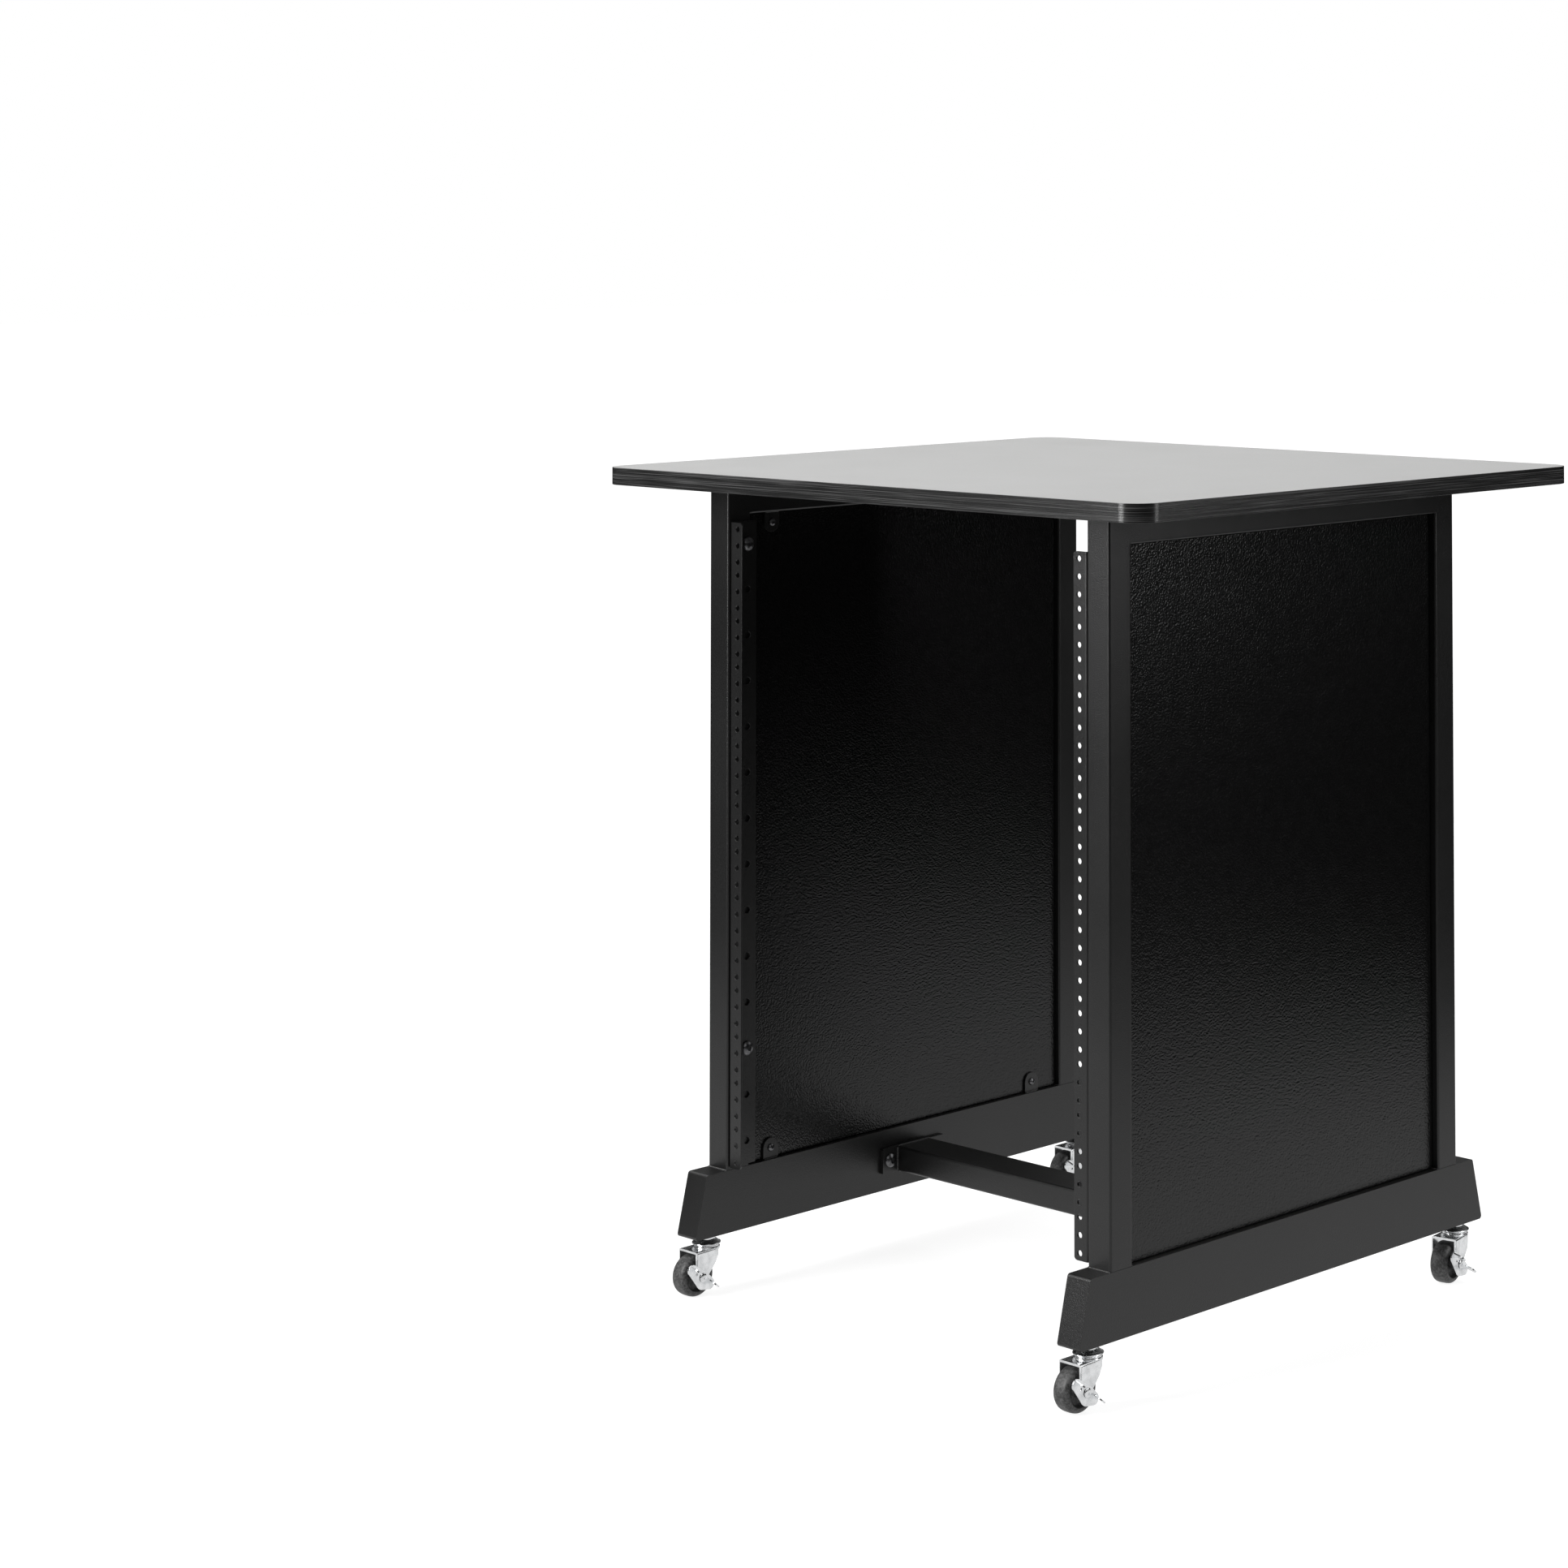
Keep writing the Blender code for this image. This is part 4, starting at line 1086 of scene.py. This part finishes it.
    def panel_screws(self) -> None:
        """The cross-recess screws through the tabs."""
        x = self.side.value * (self.panel_face_x - 2 * GAP - self.tab_sheet)
        levels = {"upper": self.rail_low - self.tab_drop, "lower": self.foot_top + self.tab_drop}
        seats, nodes = [], []
        for end, y in zip(End, self.tab_places):
            for level, z in levels.items():
                seats.append(((x, y, z), (-self.side.value, 0.0, 0.0)))
                nodes.append(f"{self.side.word}_{end.word}_{level}_panel_screw")
        FastenerRow(f"{self.side.word}_panel_screws", self.screw, seats).build(*nodes)

    def build(self) -> None:
        """Make the frame's pieces and dress its panel."""
        self.posts()
        self.top_rail()
        self.ground_welds()
        self.foot_beam()
        self.beads()
        self.panel_screws()
        dress(f"{self.side.word}_side_panel", PALETTE.board)


@dataclass
class RackRail:
    """A bent sheet angle, perforated to the 19-inch pattern, with its two bolts."""

    side: Side
    outer_x: float = 0.2437
    front_y: float = -0.2475
    low: float = 0.118
    unit: float = 0.04445
    units: int = 14
    steps: Point = (0.0, 0.015875, 0.03175)
    margin: float = 0.00635
    hole_x: float = 0.23255
    hole_radius: float = 0.00275
    side_hole_radius: float = 0.0035
    side_hole_y: float = -0.2265
    chamfer: float = 0.00025
    face: float = 0.018
    depth: float = 0.032
    sheet: float = 0.002
    edge: float = 0.0005
    bend: float = 0.003
    tip: float = 0.004
    bolt_units: tuple[int, int] = (2, 13)
    bolt: Fastener = Fastener((0.0070, 0.0042), (0.0030, 0.0126), (0.0025, 0.0024), Drive.HEXAGON)

    @property
    def length(self) -> float:
        """The rail's whole length."""
        return (self.units - 1) * self.unit + self.steps[-1] + 2 * self.margin

    def blank(self) -> Mesh:
        """The bent angle before it is punched, with its tips rounded."""
        way, s, cut = self.side.value, self.sheet, self.edge
        corner = (-self.bend, self.bend)
        points = arc((-self.face + cut, s - cut), cut, 90.0, 180.0, 3)
        points += arc((-self.face + cut, cut), cut, 180.0, 270.0, 3)
        points += arc(corner, self.bend, -90.0, 0.0, 10)
        points += arc((-cut, self.depth - cut), cut, 0.0, 90.0, 3)
        points += arc((-s + cut, self.depth - cut), cut, 90.0, 180.0, 3)
        points += arc(corner, self.bend - s, 0.0, -90.0, 8)
        outline = [(way * (self.outer_x + x), self.front_y + y) for x, y in points]
        mesh = moved(prism([outline], self.length), shift(z=self.low + self.length / 2))
        inner, over = way * (self.outer_x - self.face), 0.001
        flat = 180.0 if way > 0 else 0.0
        for z, up in ((self.low, 1), (self.low + self.length, -1)):
            centre = (inner + way * self.tip, z + up * self.tip)
            tip = arc(centre, self.tip, flat, flat + 90.0 * way * up, 8)
            x, level = inner - way * over, z - up * over
            wedge = [(x, level), (x, tip[0][1])] + tip + [(tip[-1][0], level)]
            cutter = moved(prism([wedge], 3 * s, Plane.FRONT), shift(y=self.front_y + s / 2))
            mesh = carved(mesh, ("DIFFERENCE", cutter))
        return mesh

    def punched(self, blank: Mesh) -> Mesh:
        """Punch the holes in Geometry Nodes, with a small chamfer at both faces of the sheet.

        Args:
            blank: The bent angle.

        Returns:
            The perforated angle.
        """
        tool = GeometryTool(f"{self.side.word}_rail_punch")
        graph = tool.graph
        units, unit, sheet, chamfer, *radii = tool.numbers({
            "Units": self.units,
            "Unit height": self.unit,
            "Sheet": self.sheet,
            "Chamfer": self.chamfer,
            "Face hole radius": self.hole_radius,
            "Side hole radius": self.side_hole_radius,
        })
        face = (self.side.value * self.hole_x, self.front_y + self.sheet / 2)
        flank = (self.side.value * (self.outer_x - self.sheet / 2), self.side_hole_y)
        rows = [
            (face, (math.pi / 2, 0.0, 0.0), self.steps),
            (flank, (0.0, math.pi / 2, 0.0), self.steps[1:2]),
        ]
        pitch = graph.vector(z=unit)
        spot = graph.spot()
        outer = graph.math("GREATER_THAN", graph.math("ABSOLUTE", spot["Z"]), 0.3)
        flare = graph.times(outer, graph.times(chamfer, 2.0))
        tall = graph.total(graph.math("SUBTRACT", graph.times(sheet, 0.5), chamfer), flare)
        z = graph.times(graph.math("SIGN", spot["Z"]), tall)
        copies = []
        for radius, (place, turn, steps) in zip(radii, rows):
            reach = graph.total(radius, flare)
            shape = graph.vector(graph.times(spot["X"], reach), graph.times(spot["Y"], reach), z)
            rod = {"Vertices": 28, "Side Segments": 3, "Radius": 1.0, "Depth": 1.0}
            punch = {"Geometry": graph.geometry("MeshCylinder", rod), "Position": shape}
            punch = graph.geometry("SetPosition", punch)
            for step in steps:
                start = (*place, self.low + self.margin + step)
                line = graph.geometry("MeshLine", {"Count": units, "Start Location": start, "Offset": pitch})
                row = {"Points": line, "Instance": punch, "Rotation": turn}
                copies.append(graph.geometry("InstanceOnPoints", row))
        solid = graph.geometry("RealizeInstances", {0: graph.join(copies)})
        cut = {"Mesh 1": tool.entry.outputs[0], "Mesh 2": solid}
        result = graph.geometry("MeshBoolean", cut, operation="DIFFERENCE", solver="EXACT")
        return tool.run(result, PALETTE.coat.material(), blank)

    def build(self) -> None:
        """Show the punched rail and its bolts in place of their solids."""
        word = self.side.word
        name = f"{word}_rack_rail"
        piece(f"{name}_sheet", self.punched(self.blank()), PALETTE.coat, stands_for=[name], crease=30.0)
        x = self.side.value * (self.outer_x - self.sheet - GAP)
        heights = [self.low + self.margin + u * self.unit + self.steps[1] for u in self.bolt_units]
        seats = [((x, self.side_hole_y, z), (-self.side.value, 0.0, 0.0)) for z in heights]
        nodes = [f"{word}_{level}_rail_bolt" for level in ("lower", "upper")]
        FastenerRow(f"{word}_rail_bolts", self.bolt, seats).build(*nodes)


@dataclass
class CrossBar:
    """The flat tube between the foot beams, with its end plates, weld beads and bolts."""

    depth: float = 0.045
    height: float = 0.025
    wall: float = 0.002
    corner: float = 0.0025
    middle_y: float = -0.007
    middle_z: float = 0.085
    plate_face_x: float = 0.2397
    plate_length: float = 0.085
    plate_sheet: float = 0.004
    plate_corner: float = 0.0015
    bolt_y: float = 0.0325
    bolt_hole: float = 0.0047
    seam_inset: float = 0.002
    bolt: Fastener = Fastener((0.0070, 0.0042), (0.0040, 0.0146), (0.0029, 0.0024), Drive.HEXAGON)

    def tube(self) -> None:
        """The bar itself."""
        inside = rectangle(self.depth - 2 * self.wall, self.height - 2 * self.wall)
        outside = rounded(rectangle(self.depth, self.height), self.corner)
        outlines = [outside, rounded(inside, self.corner - self.wall, 2)]
        mesh = prism(outlines, 2 * (self.plate_face_x - GAP), Plane.SIDE)
        place = shift(0.0, self.middle_y, self.middle_z)
        piece("cross_bar_tube", moved(mesh, place), PALETTE.coat, stands_for=["cross_bar"])

    def plate(self, side: Side) -> None:
        """The end plate and the bolts of one side."""
        holes = [circle((e.value * self.bolt_y, 0.0), self.bolt_hole, 28) for e in End]
        outline = rounded(rectangle(self.plate_length, self.height), self.plate_corner, 5)
        mesh = softened(prism([outline] + holes, self.plate_sheet, Plane.SIDE), 0.0005)
        x = side.value * (self.plate_face_x + self.plate_sheet / 2)
        name = f"{side.word}_bar_plate"
        mesh = moved(mesh, shift(x, self.middle_y, self.middle_z))
        piece(f"{name}_sheet", mesh, PALETTE.coat, stands_for=[name])
        seat = side.value * (self.plate_face_x - GAP)
        places = [(seat, self.middle_y + e.value * self.bolt_y, self.middle_z) for e in End]
        seats = [(place, (-side.value, 0.0, 0.0)) for place in places]
        nodes = [f"{side.word}_{e.word}_bar_bolt" for e in End]
        FastenerRow(f"{side.word}_bar_bolts", self.bolt, seats).build(*nodes)

    def seams(self, side: Side) -> list[Pair]:
        """The four seams round the bar on one side's plate."""
        x = side.value * (self.plate_face_x - 0.0002)
        y, z = self.middle_y, self.middle_z
        half_y, half_z = self.depth / 2, self.height / 2
        run_y, run_z = half_y - self.seam_inset, half_z - self.seam_inset
        seams = []
        for way in (-1, 1):
            seams.append(((x, y - run_y, z + way * half_z), (x, y + run_y, z + way * half_z)))
            seams.append(((x, y + way * half_y, z - run_z), (x, y + way * half_y, z + run_z)))
        return seams

    def build(self) -> None:
        """Make the bar, the plates with their bolts and the beads."""
        self.tube()
        for side in Side:
            self.plate(side)
        WeldBeads("cross_bar_weld_beads", [seam for side in Side for seam in self.seams(side)], 5).build()


@dataclass
class Caster:
    """A swivel caster with a rocker brake. Its own meshes stand on the floor about the swivel axis."""

    end: End
    side: Side
    rest: float = 0.0
    place_x: float = 0.258
    middle_y: float = -0.007
    place_y: float = 0.256
    trail: float = 0.017
    axle_z: float = 0.01983
    wheel_width: float = 0.018
    recess: float = 0.0142
    half_fork: float = 0.0138
    sheet: float = 0.002
    fork_front: float = 0.023
    crown: float = 0.0130
    crown_top: float = 0.0440
    bend: float = 0.0026
    leg_end: float = 0.0065
    leg_rear: float = 0.0075
    leg_corner: float = 0.0020
    race: float = 0.0118
    race_bore: float = 0.0045
    race_height: float = 0.0022
    run_gap: float = 0.0006
    cap: float = 0.0140
    cap_low: float = 0.0468
    cap_rim: float = 0.0016
    cap_dome: float = 0.0024
    neck: float = 0.0085
    stem: float = 0.004
    stem_top: float = 0.069
    kingpin: float = 0.0035
    thread_pitch: float = 0.00125
    thread_depth: float = 0.0006
    nut_flats: float = 0.016
    foot_low: float = 0.055
    lever_sheet: float = 0.0014
    lever_front: Flat = (-0.0125, 0.0090)
    lever_rear: Flat = (0.0085, -0.0072)
    lever_end: float = 0.0055
    lever_drop: float = 0.0030
    lever_mid: float = 0.0085
    lever_bore: float = 0.0029
    pad_reach: float = 0.0130
    pad_width: float = 0.0090
    pad_lift: float = 0.0030
    pad_droop: float = 15.0

    @property
    def name(self) -> str:
        """The caster's corner of the rack."""
        return f"{self.end.word}_{self.side.word}"

    @property
    def upright(self) -> Matrix:
        """The place of what doesn't swivel."""
        return shift(self.side.value * self.place_x, self.middle_y + self.end.value * self.place_y)

    @property
    def swung(self) -> Matrix:
        """The place of what swivels, at rest."""
        return self.upright @ Matrix.Rotation(math.radians(self.rest), 4, "Z")

    @property
    def hub(self) -> Matrix:
        """The place of what sits on the axle."""
        return self.swung @ shift(0.0, -self.trail, self.axle_z)

    def stem_mesh(self) -> Mesh:
        """The threaded stem with its nut and, under the crown, the riveted end."""
        low = self.crown_top - self.sheet - self.run_gap
        profile = [(0.0, low - 0.0010), (0.0044, low - 0.0010), (0.0050, low - 0.0006), (0.0050, low)]
        profile += [(self.kingpin, low), (self.kingpin, self.cap_low)]
        profile += [(self.stem - GAP, self.cap_low + GAP), (self.stem - GAP, self.foot_low - 0.0006)]
        z = self.foot_low + 0.0002
        while z + self.thread_pitch < self.stem_top - 0.001:
            profile += [(self.stem - self.thread_depth, z), (self.stem, z + self.thread_pitch / 2)]
            z += self.thread_pitch
        profile += [(self.stem - 0.0008, self.stem_top - 0.0006), (self.stem - 0.0014, self.stem_top)]
        profile += [(0.0, self.stem_top)]
        bottom, top = self.cap_low + self.cap_rim + self.cap_dome + GAP, self.foot_low - GAP
        across, half = self.nut_flats / math.sqrt(3.0), (top - bottom) / 2
        wide = across + 0.0002
        crown = [(0.0, -half), (across - 0.0016, -half), (wide, -half + 0.0009), (wide, half), (0.0, half)]
        nut = carved(prism([circle(ORIGIN, across, 6)], top - bottom), ("INTERSECT", turned(crown, 48)))
        return joined([(turned(profile, 40), shift()), (nut, shift(z=(top + bottom) / 2))])

    def cap_mesh(self) -> Mesh:
        """The pressed cap over the ball race: a rolled rim and a soft dome up to the nut."""
        low, rim, bore = self.cap_low, self.cap_low + self.cap_rim, self.stem + GAP
        roll, steps = self.cap_rim / 2, 8
        profile = [(bore, low)] + arc((self.cap - roll, low + roll), roll, -90.0, 90.0, steps)
        for i in range(1, steps + 1):
            t = i / steps
            r = (self.cap - roll - 0.0006) * (1 - t) + self.neck * t
            profile.append((r, rim + self.cap_dome * math.sin(t * math.pi / 2) ** 0.9))
        profile.append((bore, rim + self.cap_dome))
        return turned(profile, 56, closed=True)

    def fork_mesh(self) -> Mesh:
        """The pressed fork: a bent sheet with a raised race, legs that taper to the axle and soft edges."""
        h, s, b, top, c = self.half_fork, self.sheet, self.bend, self.crown_top, self.leg_corner
        low = self.axle_z - self.leg_end - 0.002
        outside = [(-h, low)] + arc((-h + b, top - b), b, 180.0, 90.0, 8)
        outside += arc((h - b, top - b), b, 90.0, 0.0, 8) + [(h, low)]
        inside = [(h - s, low)] + arc((h - b, top - b), b - s, 0.0, 90.0, 4)
        inside += arc((-h + b, top - b), b - s, 90.0, 180.0, 4) + [(-h + s, low)]
        channel = prism([(outside + inside)[::-1]], 0.080, Plane.FRONT)
        front = c - self.fork_front
        corners = [(x, y) for x in (c - h, h - c) for y in (front, 0.0)]
        plan = hull(circle(ORIGIN, self.crown, 48) + [p for corner in corners for p in circle(corner, c, 20)])
        level = top - 0.0016
        legs = circle((front, level), c, 20) + circle((self.leg_rear - 0.0005, level), c, 20)
        legs = hull(legs + circle((-self.trail, self.axle_z), self.leg_end, 40))
        floor, roof = top - s - 0.0004, top + 0.001
        slab = prism([[(-0.03, floor), (0.02, floor), (0.02, roof), (-0.03, roof)]], 0.05, Plane.SIDE)
        side_view = carved(prism([legs], 0.05, Plane.SIDE), ("UNION", slab))
        plan_view = moved(prism([plan], 0.06), shift(z=0.03))
        bore = moved(turned([(0.0, -0.01), (0.0042, -0.01), (0.0042, 0.01), (0.0, 0.01)], 32), shift(z=top))
        sheet = carved(channel, ("INTERSECT", side_view), ("INTERSECT", plan_view), ("DIFFERENCE", bore))
        sheet = softened(weld(sheet), 0.00035, 2, 50.0)
        edge, crest, foot = 0.0007, top + self.race_height, top - 0.0004
        ring = [(self.race_bore, foot), (self.race + 0.0006, foot), (self.race, top + 0.0004)]
        ring += arc((self.race - edge, crest - edge), edge, 0.0, 90.0, 5) + [(self.race_bore, crest)]
        return joined([(sheet, shift()), (turned(ring, 56, closed=True), shift())])

    def wheel_mesh(self) -> Mesh:
        """The moulded wheel about X: a crowned tread, round shoulders, a lipped recess and a boss."""
        flank, r, dish = self.wheel_width / 2, self.axle_z, self.recess
        boss = self.half_fork - self.sheet - self.run_gap
        half = [(0.0027, boss), (0.0050, boss), (0.0055, boss - 0.0005), (0.0060, 0.0045), (0.0066, 0.0040)]
        half += [(dish - 0.0014, 0.0040), (dish - 0.0008, 0.0046), (dish - 0.0002, flank - 0.0006)]
        half += [(dish + 0.0004, flank)] + arc((r - 0.0048, flank - 0.0046), 0.0046, 90.0, 4.0, 9)
        half += [(r, 0.0030)]
        profile = half + [(radius, -x) for radius, x in reversed(half)]
        return moved(turned(profile, 72, closed=True), Matrix.Rotation(math.pi / 2, 4, "Y"))

    def lever_mesh(self) -> Mesh:
        """The pressed rocker plate with its two round-ended pads, bent out from it."""
        ends = circle(self.lever_front, self.lever_end, 32) + circle(self.lever_rear, self.lever_end, 32)
        outline = hull(ends + circle((0.0, -self.lever_drop), self.lever_mid, 48))
        holes = [circle(ORIGIN, self.lever_bore, 24), circle((-0.0078, 0.0046), 0.0012, 16)]
        t = self.lever_sheet
        plate = softened(prism([outline] + holes, t, Plane.SIDE), 0.0003)
        plate_x = self.half_fork + self.run_gap + t / 2
        run = Vector(self.lever_rear) - Vector(self.lever_front)
        lean = Matrix.Rotation(math.atan2(run.y, run.x), 4, "X")
        half = self.pad_width / 2
        tongue = [(0.0, half), (0.0, -half)] + arc((self.pad_reach - half, 0.0), half, -90.0, 90.0, 16)
        pad = softened(prism([tongue], t), 0.00035)
        turn = lean @ Matrix.Rotation(math.radians(self.pad_droop), 4, "Y")
        radius = 0.0010
        under = -t / 2 - radius
        wedge = [(0.0, under)] + arc((0.0017, under), radius, 180.0, 90.0, 5) + [(0.0, -t / 2)]
        fillet = prism([wedge], self.pad_width - 0.0006, Plane.FRONT)
        lift = lean @ Vector((0.0, 0.0, self.pad_lift))
        parts = [(plate, shift(plate_x))]
        for y, z in (self.lever_front, self.lever_rear):
            root = shift(plate_x, y + lift.y, z + lift.z) @ turn
            parts += [(pad, root), (fillet, root)]
        return joined(parts)

    def build(self) -> None:
        """Show the caster's pieces in place of their solids."""
        name, zinc = self.name, PALETTE.zinc
        fork, wheel, lever = f"{name}_fork", f"{name}_wheel", f"{name}_lever"
        pieces = [
            ("stem_and_nut", self.stem_mesh(), self.upright, zinc, ROOT, "caster_stem"),
            ("domed_cap", self.cap_mesh(), self.upright, zinc, ROOT, "swivel_cap"),
            ("pressed_fork", self.fork_mesh(), self.swung, zinc, fork, "caster_fork"),
            ("moulded_wheel", self.wheel_mesh(), self.hub, PALETTE.wheel, wheel, "caster_wheel"),
            ("rocker_lever", self.lever_mesh(), self.hub, zinc, lever, "brake_lever"),
        ]
        for label, mesh, place, finish, body, node in pieces:
            piece(f"{name}_{label}", moved(mesh, place), finish, body=body, stands_for=[f"{name}_{node}"])
        way = self.swung.to_3x3() @ Vector((1.0, 0.0, 0.0))
        right = self.half_fork + self.lever_sheet + self.run_gap + 2 * GAP
        left = -self.half_fork - GAP
        rivet = Fastener((0.0042, 0.0012), (0.0025, right + self.half_fork), (0.0009, 0.0004))
        foot = Fastener((0.0042, 0.0012), (0.0024, 0.0030), (0.0007, 0.0002))
        heads = [
            ("axle_rivet", rivet, right, way, [f"{name}_caster_axle"]),
            ("axle_foot", foot, left, -way, []),
        ]
        for label, size, x, facing, nodes in heads:
            seat = (self.hub @ Vector((x, 0.0, 0.0)), facing)
            FastenerRow(f"{name}_{label}", size, [seat], zinc).build(*nodes, body=fork)


# Studio

@dataclass(frozen=True)
class Lamp:
    """A soft rectangular lamp that faces a point. Its power is in watts."""

    name: str
    place: Point
    aim: Point
    size: Flat
    power: float

    def build(self) -> None:
        """Hang the lamp, out of the camera's sight."""
        data = bpy.data.lights.new(self.name, "AREA")
        data.shape = "RECTANGLE"
        data.size, data.size_y = self.size
        data.energy = self.power
        obj = placed(self.name, data)
        obj.location = self.place
        obj.rotation_euler = (Vector(self.aim) - Vector(self.place)).to_track_quat("-Z", "Y").to_euler()
        obj.visible_camera = False


@dataclass
class Studio:
    """A white studio with a pale floor, dark drapes behind the lamps and the photograph's camera.

    The pool is a glowing patch of painted light on the floor round the rack, without shadow, which the rack
    mirrors and is lit by from below. The camera's turns are in degrees.
    """

    floor_size: float = 60.0
    floor_shade: tuple[float, ...] = (0.30, 0.30, 0.30, 1.0)
    # The pool fields set a glowing patch of painted light on the floor, without shadow.
    pool_middle: Point = (0.0, -0.18, 0.0)
    pool_edge: Flat = (1.36, 1.54)
    pool_strength: float = 0.80
    beyond_strength: float = 0.02
    glow_reach: Flat = (0.9, 2.0)
    glow_low: float = 0.88
    drape_radius: float = 2.7
    drape_foot: float = 0.001
    drape_height: float = 1.45
    fill: float = 0.35
    lamps: tuple[Lamp, ...] = (
        Lamp("overhead_softbox", (-0.7, 0.6, 2.5), (-0.2, 0.2, 0.0), (2.2, 2.2), 42.0),
        Lamp("front_softbox", (-0.7, -2.22, 1.45), (0.2, 0.0, 0.75), (0.85, 1.7), 68.0),
        Lamp("right_softbox", (2.14, 1.0, 1.45), (0.2, 0.0, 0.75), (0.6, 1.7), 22.0),
    )
    camera_place: Point = (2.5043, -2.5577, 1.0398)
    camera_turns: tuple[tuple[float, str], ...] = ((41.863, "Z"), (92.266, "X"), (-0.19, "Z"))
    camera_lens: float = 83.32
    camera_shift: Flat = (-0.2947, -0.4556)

    def floor_material(self) -> bpy.types.Material:
        """White to the camera with the rack's soft shadow; to all else, a glowing pool of painted light round
        the rack, without shadow, in place of a lit floor.
        """
        material = bpy.data.materials.new("pale_floor")
        material.use_nodes = True
        nodes = material.node_tree.nodes
        nodes.remove(nodes["Principled BSDF"])
        graph = Graph(material.node_tree)
        ends = {0: graph.add("ShaderNodeTexCoord").outputs["Object"], 1: self.pool_middle}
        reach = graph.add("ShaderNodeVectorMath", ends, operation="DISTANCE").outputs["Value"]
        # The pool glows: painted light on the floor round the rack, with no shadow, in place of a lit floor
        # that the rack mirrors and is lit by from below.
        pool = graph.span(reach, self.pool_strength, self.beyond_strength, *self.pool_edge)
        pool_glow = graph.shader("Emission", {"Color": WHITE, "Strength": pool})
        glow = graph.span(reach, self.glow_low, 1.0, *self.glow_reach)
        white = graph.shader("Emission", {"Color": WHITE, "Strength": glow})
        shade = graph.shader("BsdfDiffuse", {"Color": self.floor_shade})
        seen = graph.shader("AddShader", {0: white, 1: shade})
        camera = graph.add("ShaderNodeLightPath").outputs["Is Camera Ray"]
        mixed = graph.shader("MixShader", {0: camera, 1: pool_glow, 2: seen})
        graph.feed(nodes["Material Output"], {"Surface": mixed})
        return material

    def floor(self) -> None:
        """The floor, wide enough to pass the horizon."""
        mesh = bpy.data.meshes.new("floor")
        corners = [(x, y, 0.0) for x, y in rectangle(self.floor_size, self.floor_size)]
        mesh.from_pydata(corners, [], [(0, 1, 2, 3)])
        mesh.materials.append(self.floor_material())
        placed("floor", mesh)

    def drapes(self) -> None:
        """Dark drapes all round that the camera doesn't see and the black surfaces mirror."""
        radius = self.drape_radius
        mesh = turned([(radius, self.drape_foot), (radius, self.drape_height)], 48)
        mesh.materials.append(Drape("dark_drape").material())
        obj = placed("drapes", mesh)
        obj.visible_camera = False

    def world(self) -> None:
        """White to the camera and to mirror-like rays, and a low fill to the rest."""
        world = bpy.data.worlds.new("studio")
        bpy.context.scene.world = world
        world.use_nodes = True
        nodes = world.node_tree.nodes
        graph = Graph(world.node_tree)
        fill = nodes["Background"]
        graph.feed(fill, {"Color": WHITE, "Strength": self.fill})
        white = graph.shader("Background", {"Color": WHITE, "Strength": 1.0})
        path = graph.add("ShaderNodeLightPath").outputs
        seen = graph.math("MAXIMUM", path["Is Camera Ray"], path["Is Glossy Ray"])
        seen = graph.math("MAXIMUM", seen, path["Is Transmission Ray"])
        mixed = graph.shader("MixShader", {0: seen, 1: fill.outputs[0], 2: white})
        graph.feed(nodes["World Output"], {"Surface": mixed})

    def camera(self) -> None:
        """The photograph's view, which is the right-hand part of a wider picture."""
        data = bpy.data.cameras.new("view")
        data.sensor_width = 36.0
        data.lens = self.camera_lens
        data.shift_x, data.shift_y = self.camera_shift
        data.clip_end = 200.0
        obj = placed("view", data)
        matrix = shift(*self.camera_place)
        for degrees, axis in self.camera_turns:
            matrix = matrix @ Matrix.Rotation(math.radians(degrees), 4, axis)
        obj.matrix_world = matrix
        bpy.context.scene.camera = obj

    def build(self) -> None:
        """Set the whole studio."""
        bpy.context.scene.view_settings.view_transform = "Standard"
        self.floor()
        self.drapes()
        for lamp in self.lamps:
            lamp.build()
        self.world()
        self.camera()


def main() -> None:
    """Build the studio and every piece of the rack."""
    logging.basicConfig(level=logging.INFO, format="%(message)s")
    Studio().build()
    TableTop().build()
    for side in Side:
        SideFrame(side).build()
        RackRail(side).build()
    CrossBar().build()
    for end in End:
        for side in Side:
            swung = end is End.REAR and side is Side.RIGHT
            Caster(end, side, rest=10.0 if swung else 0.0).build()


if __name__ == "__main__":
    main()
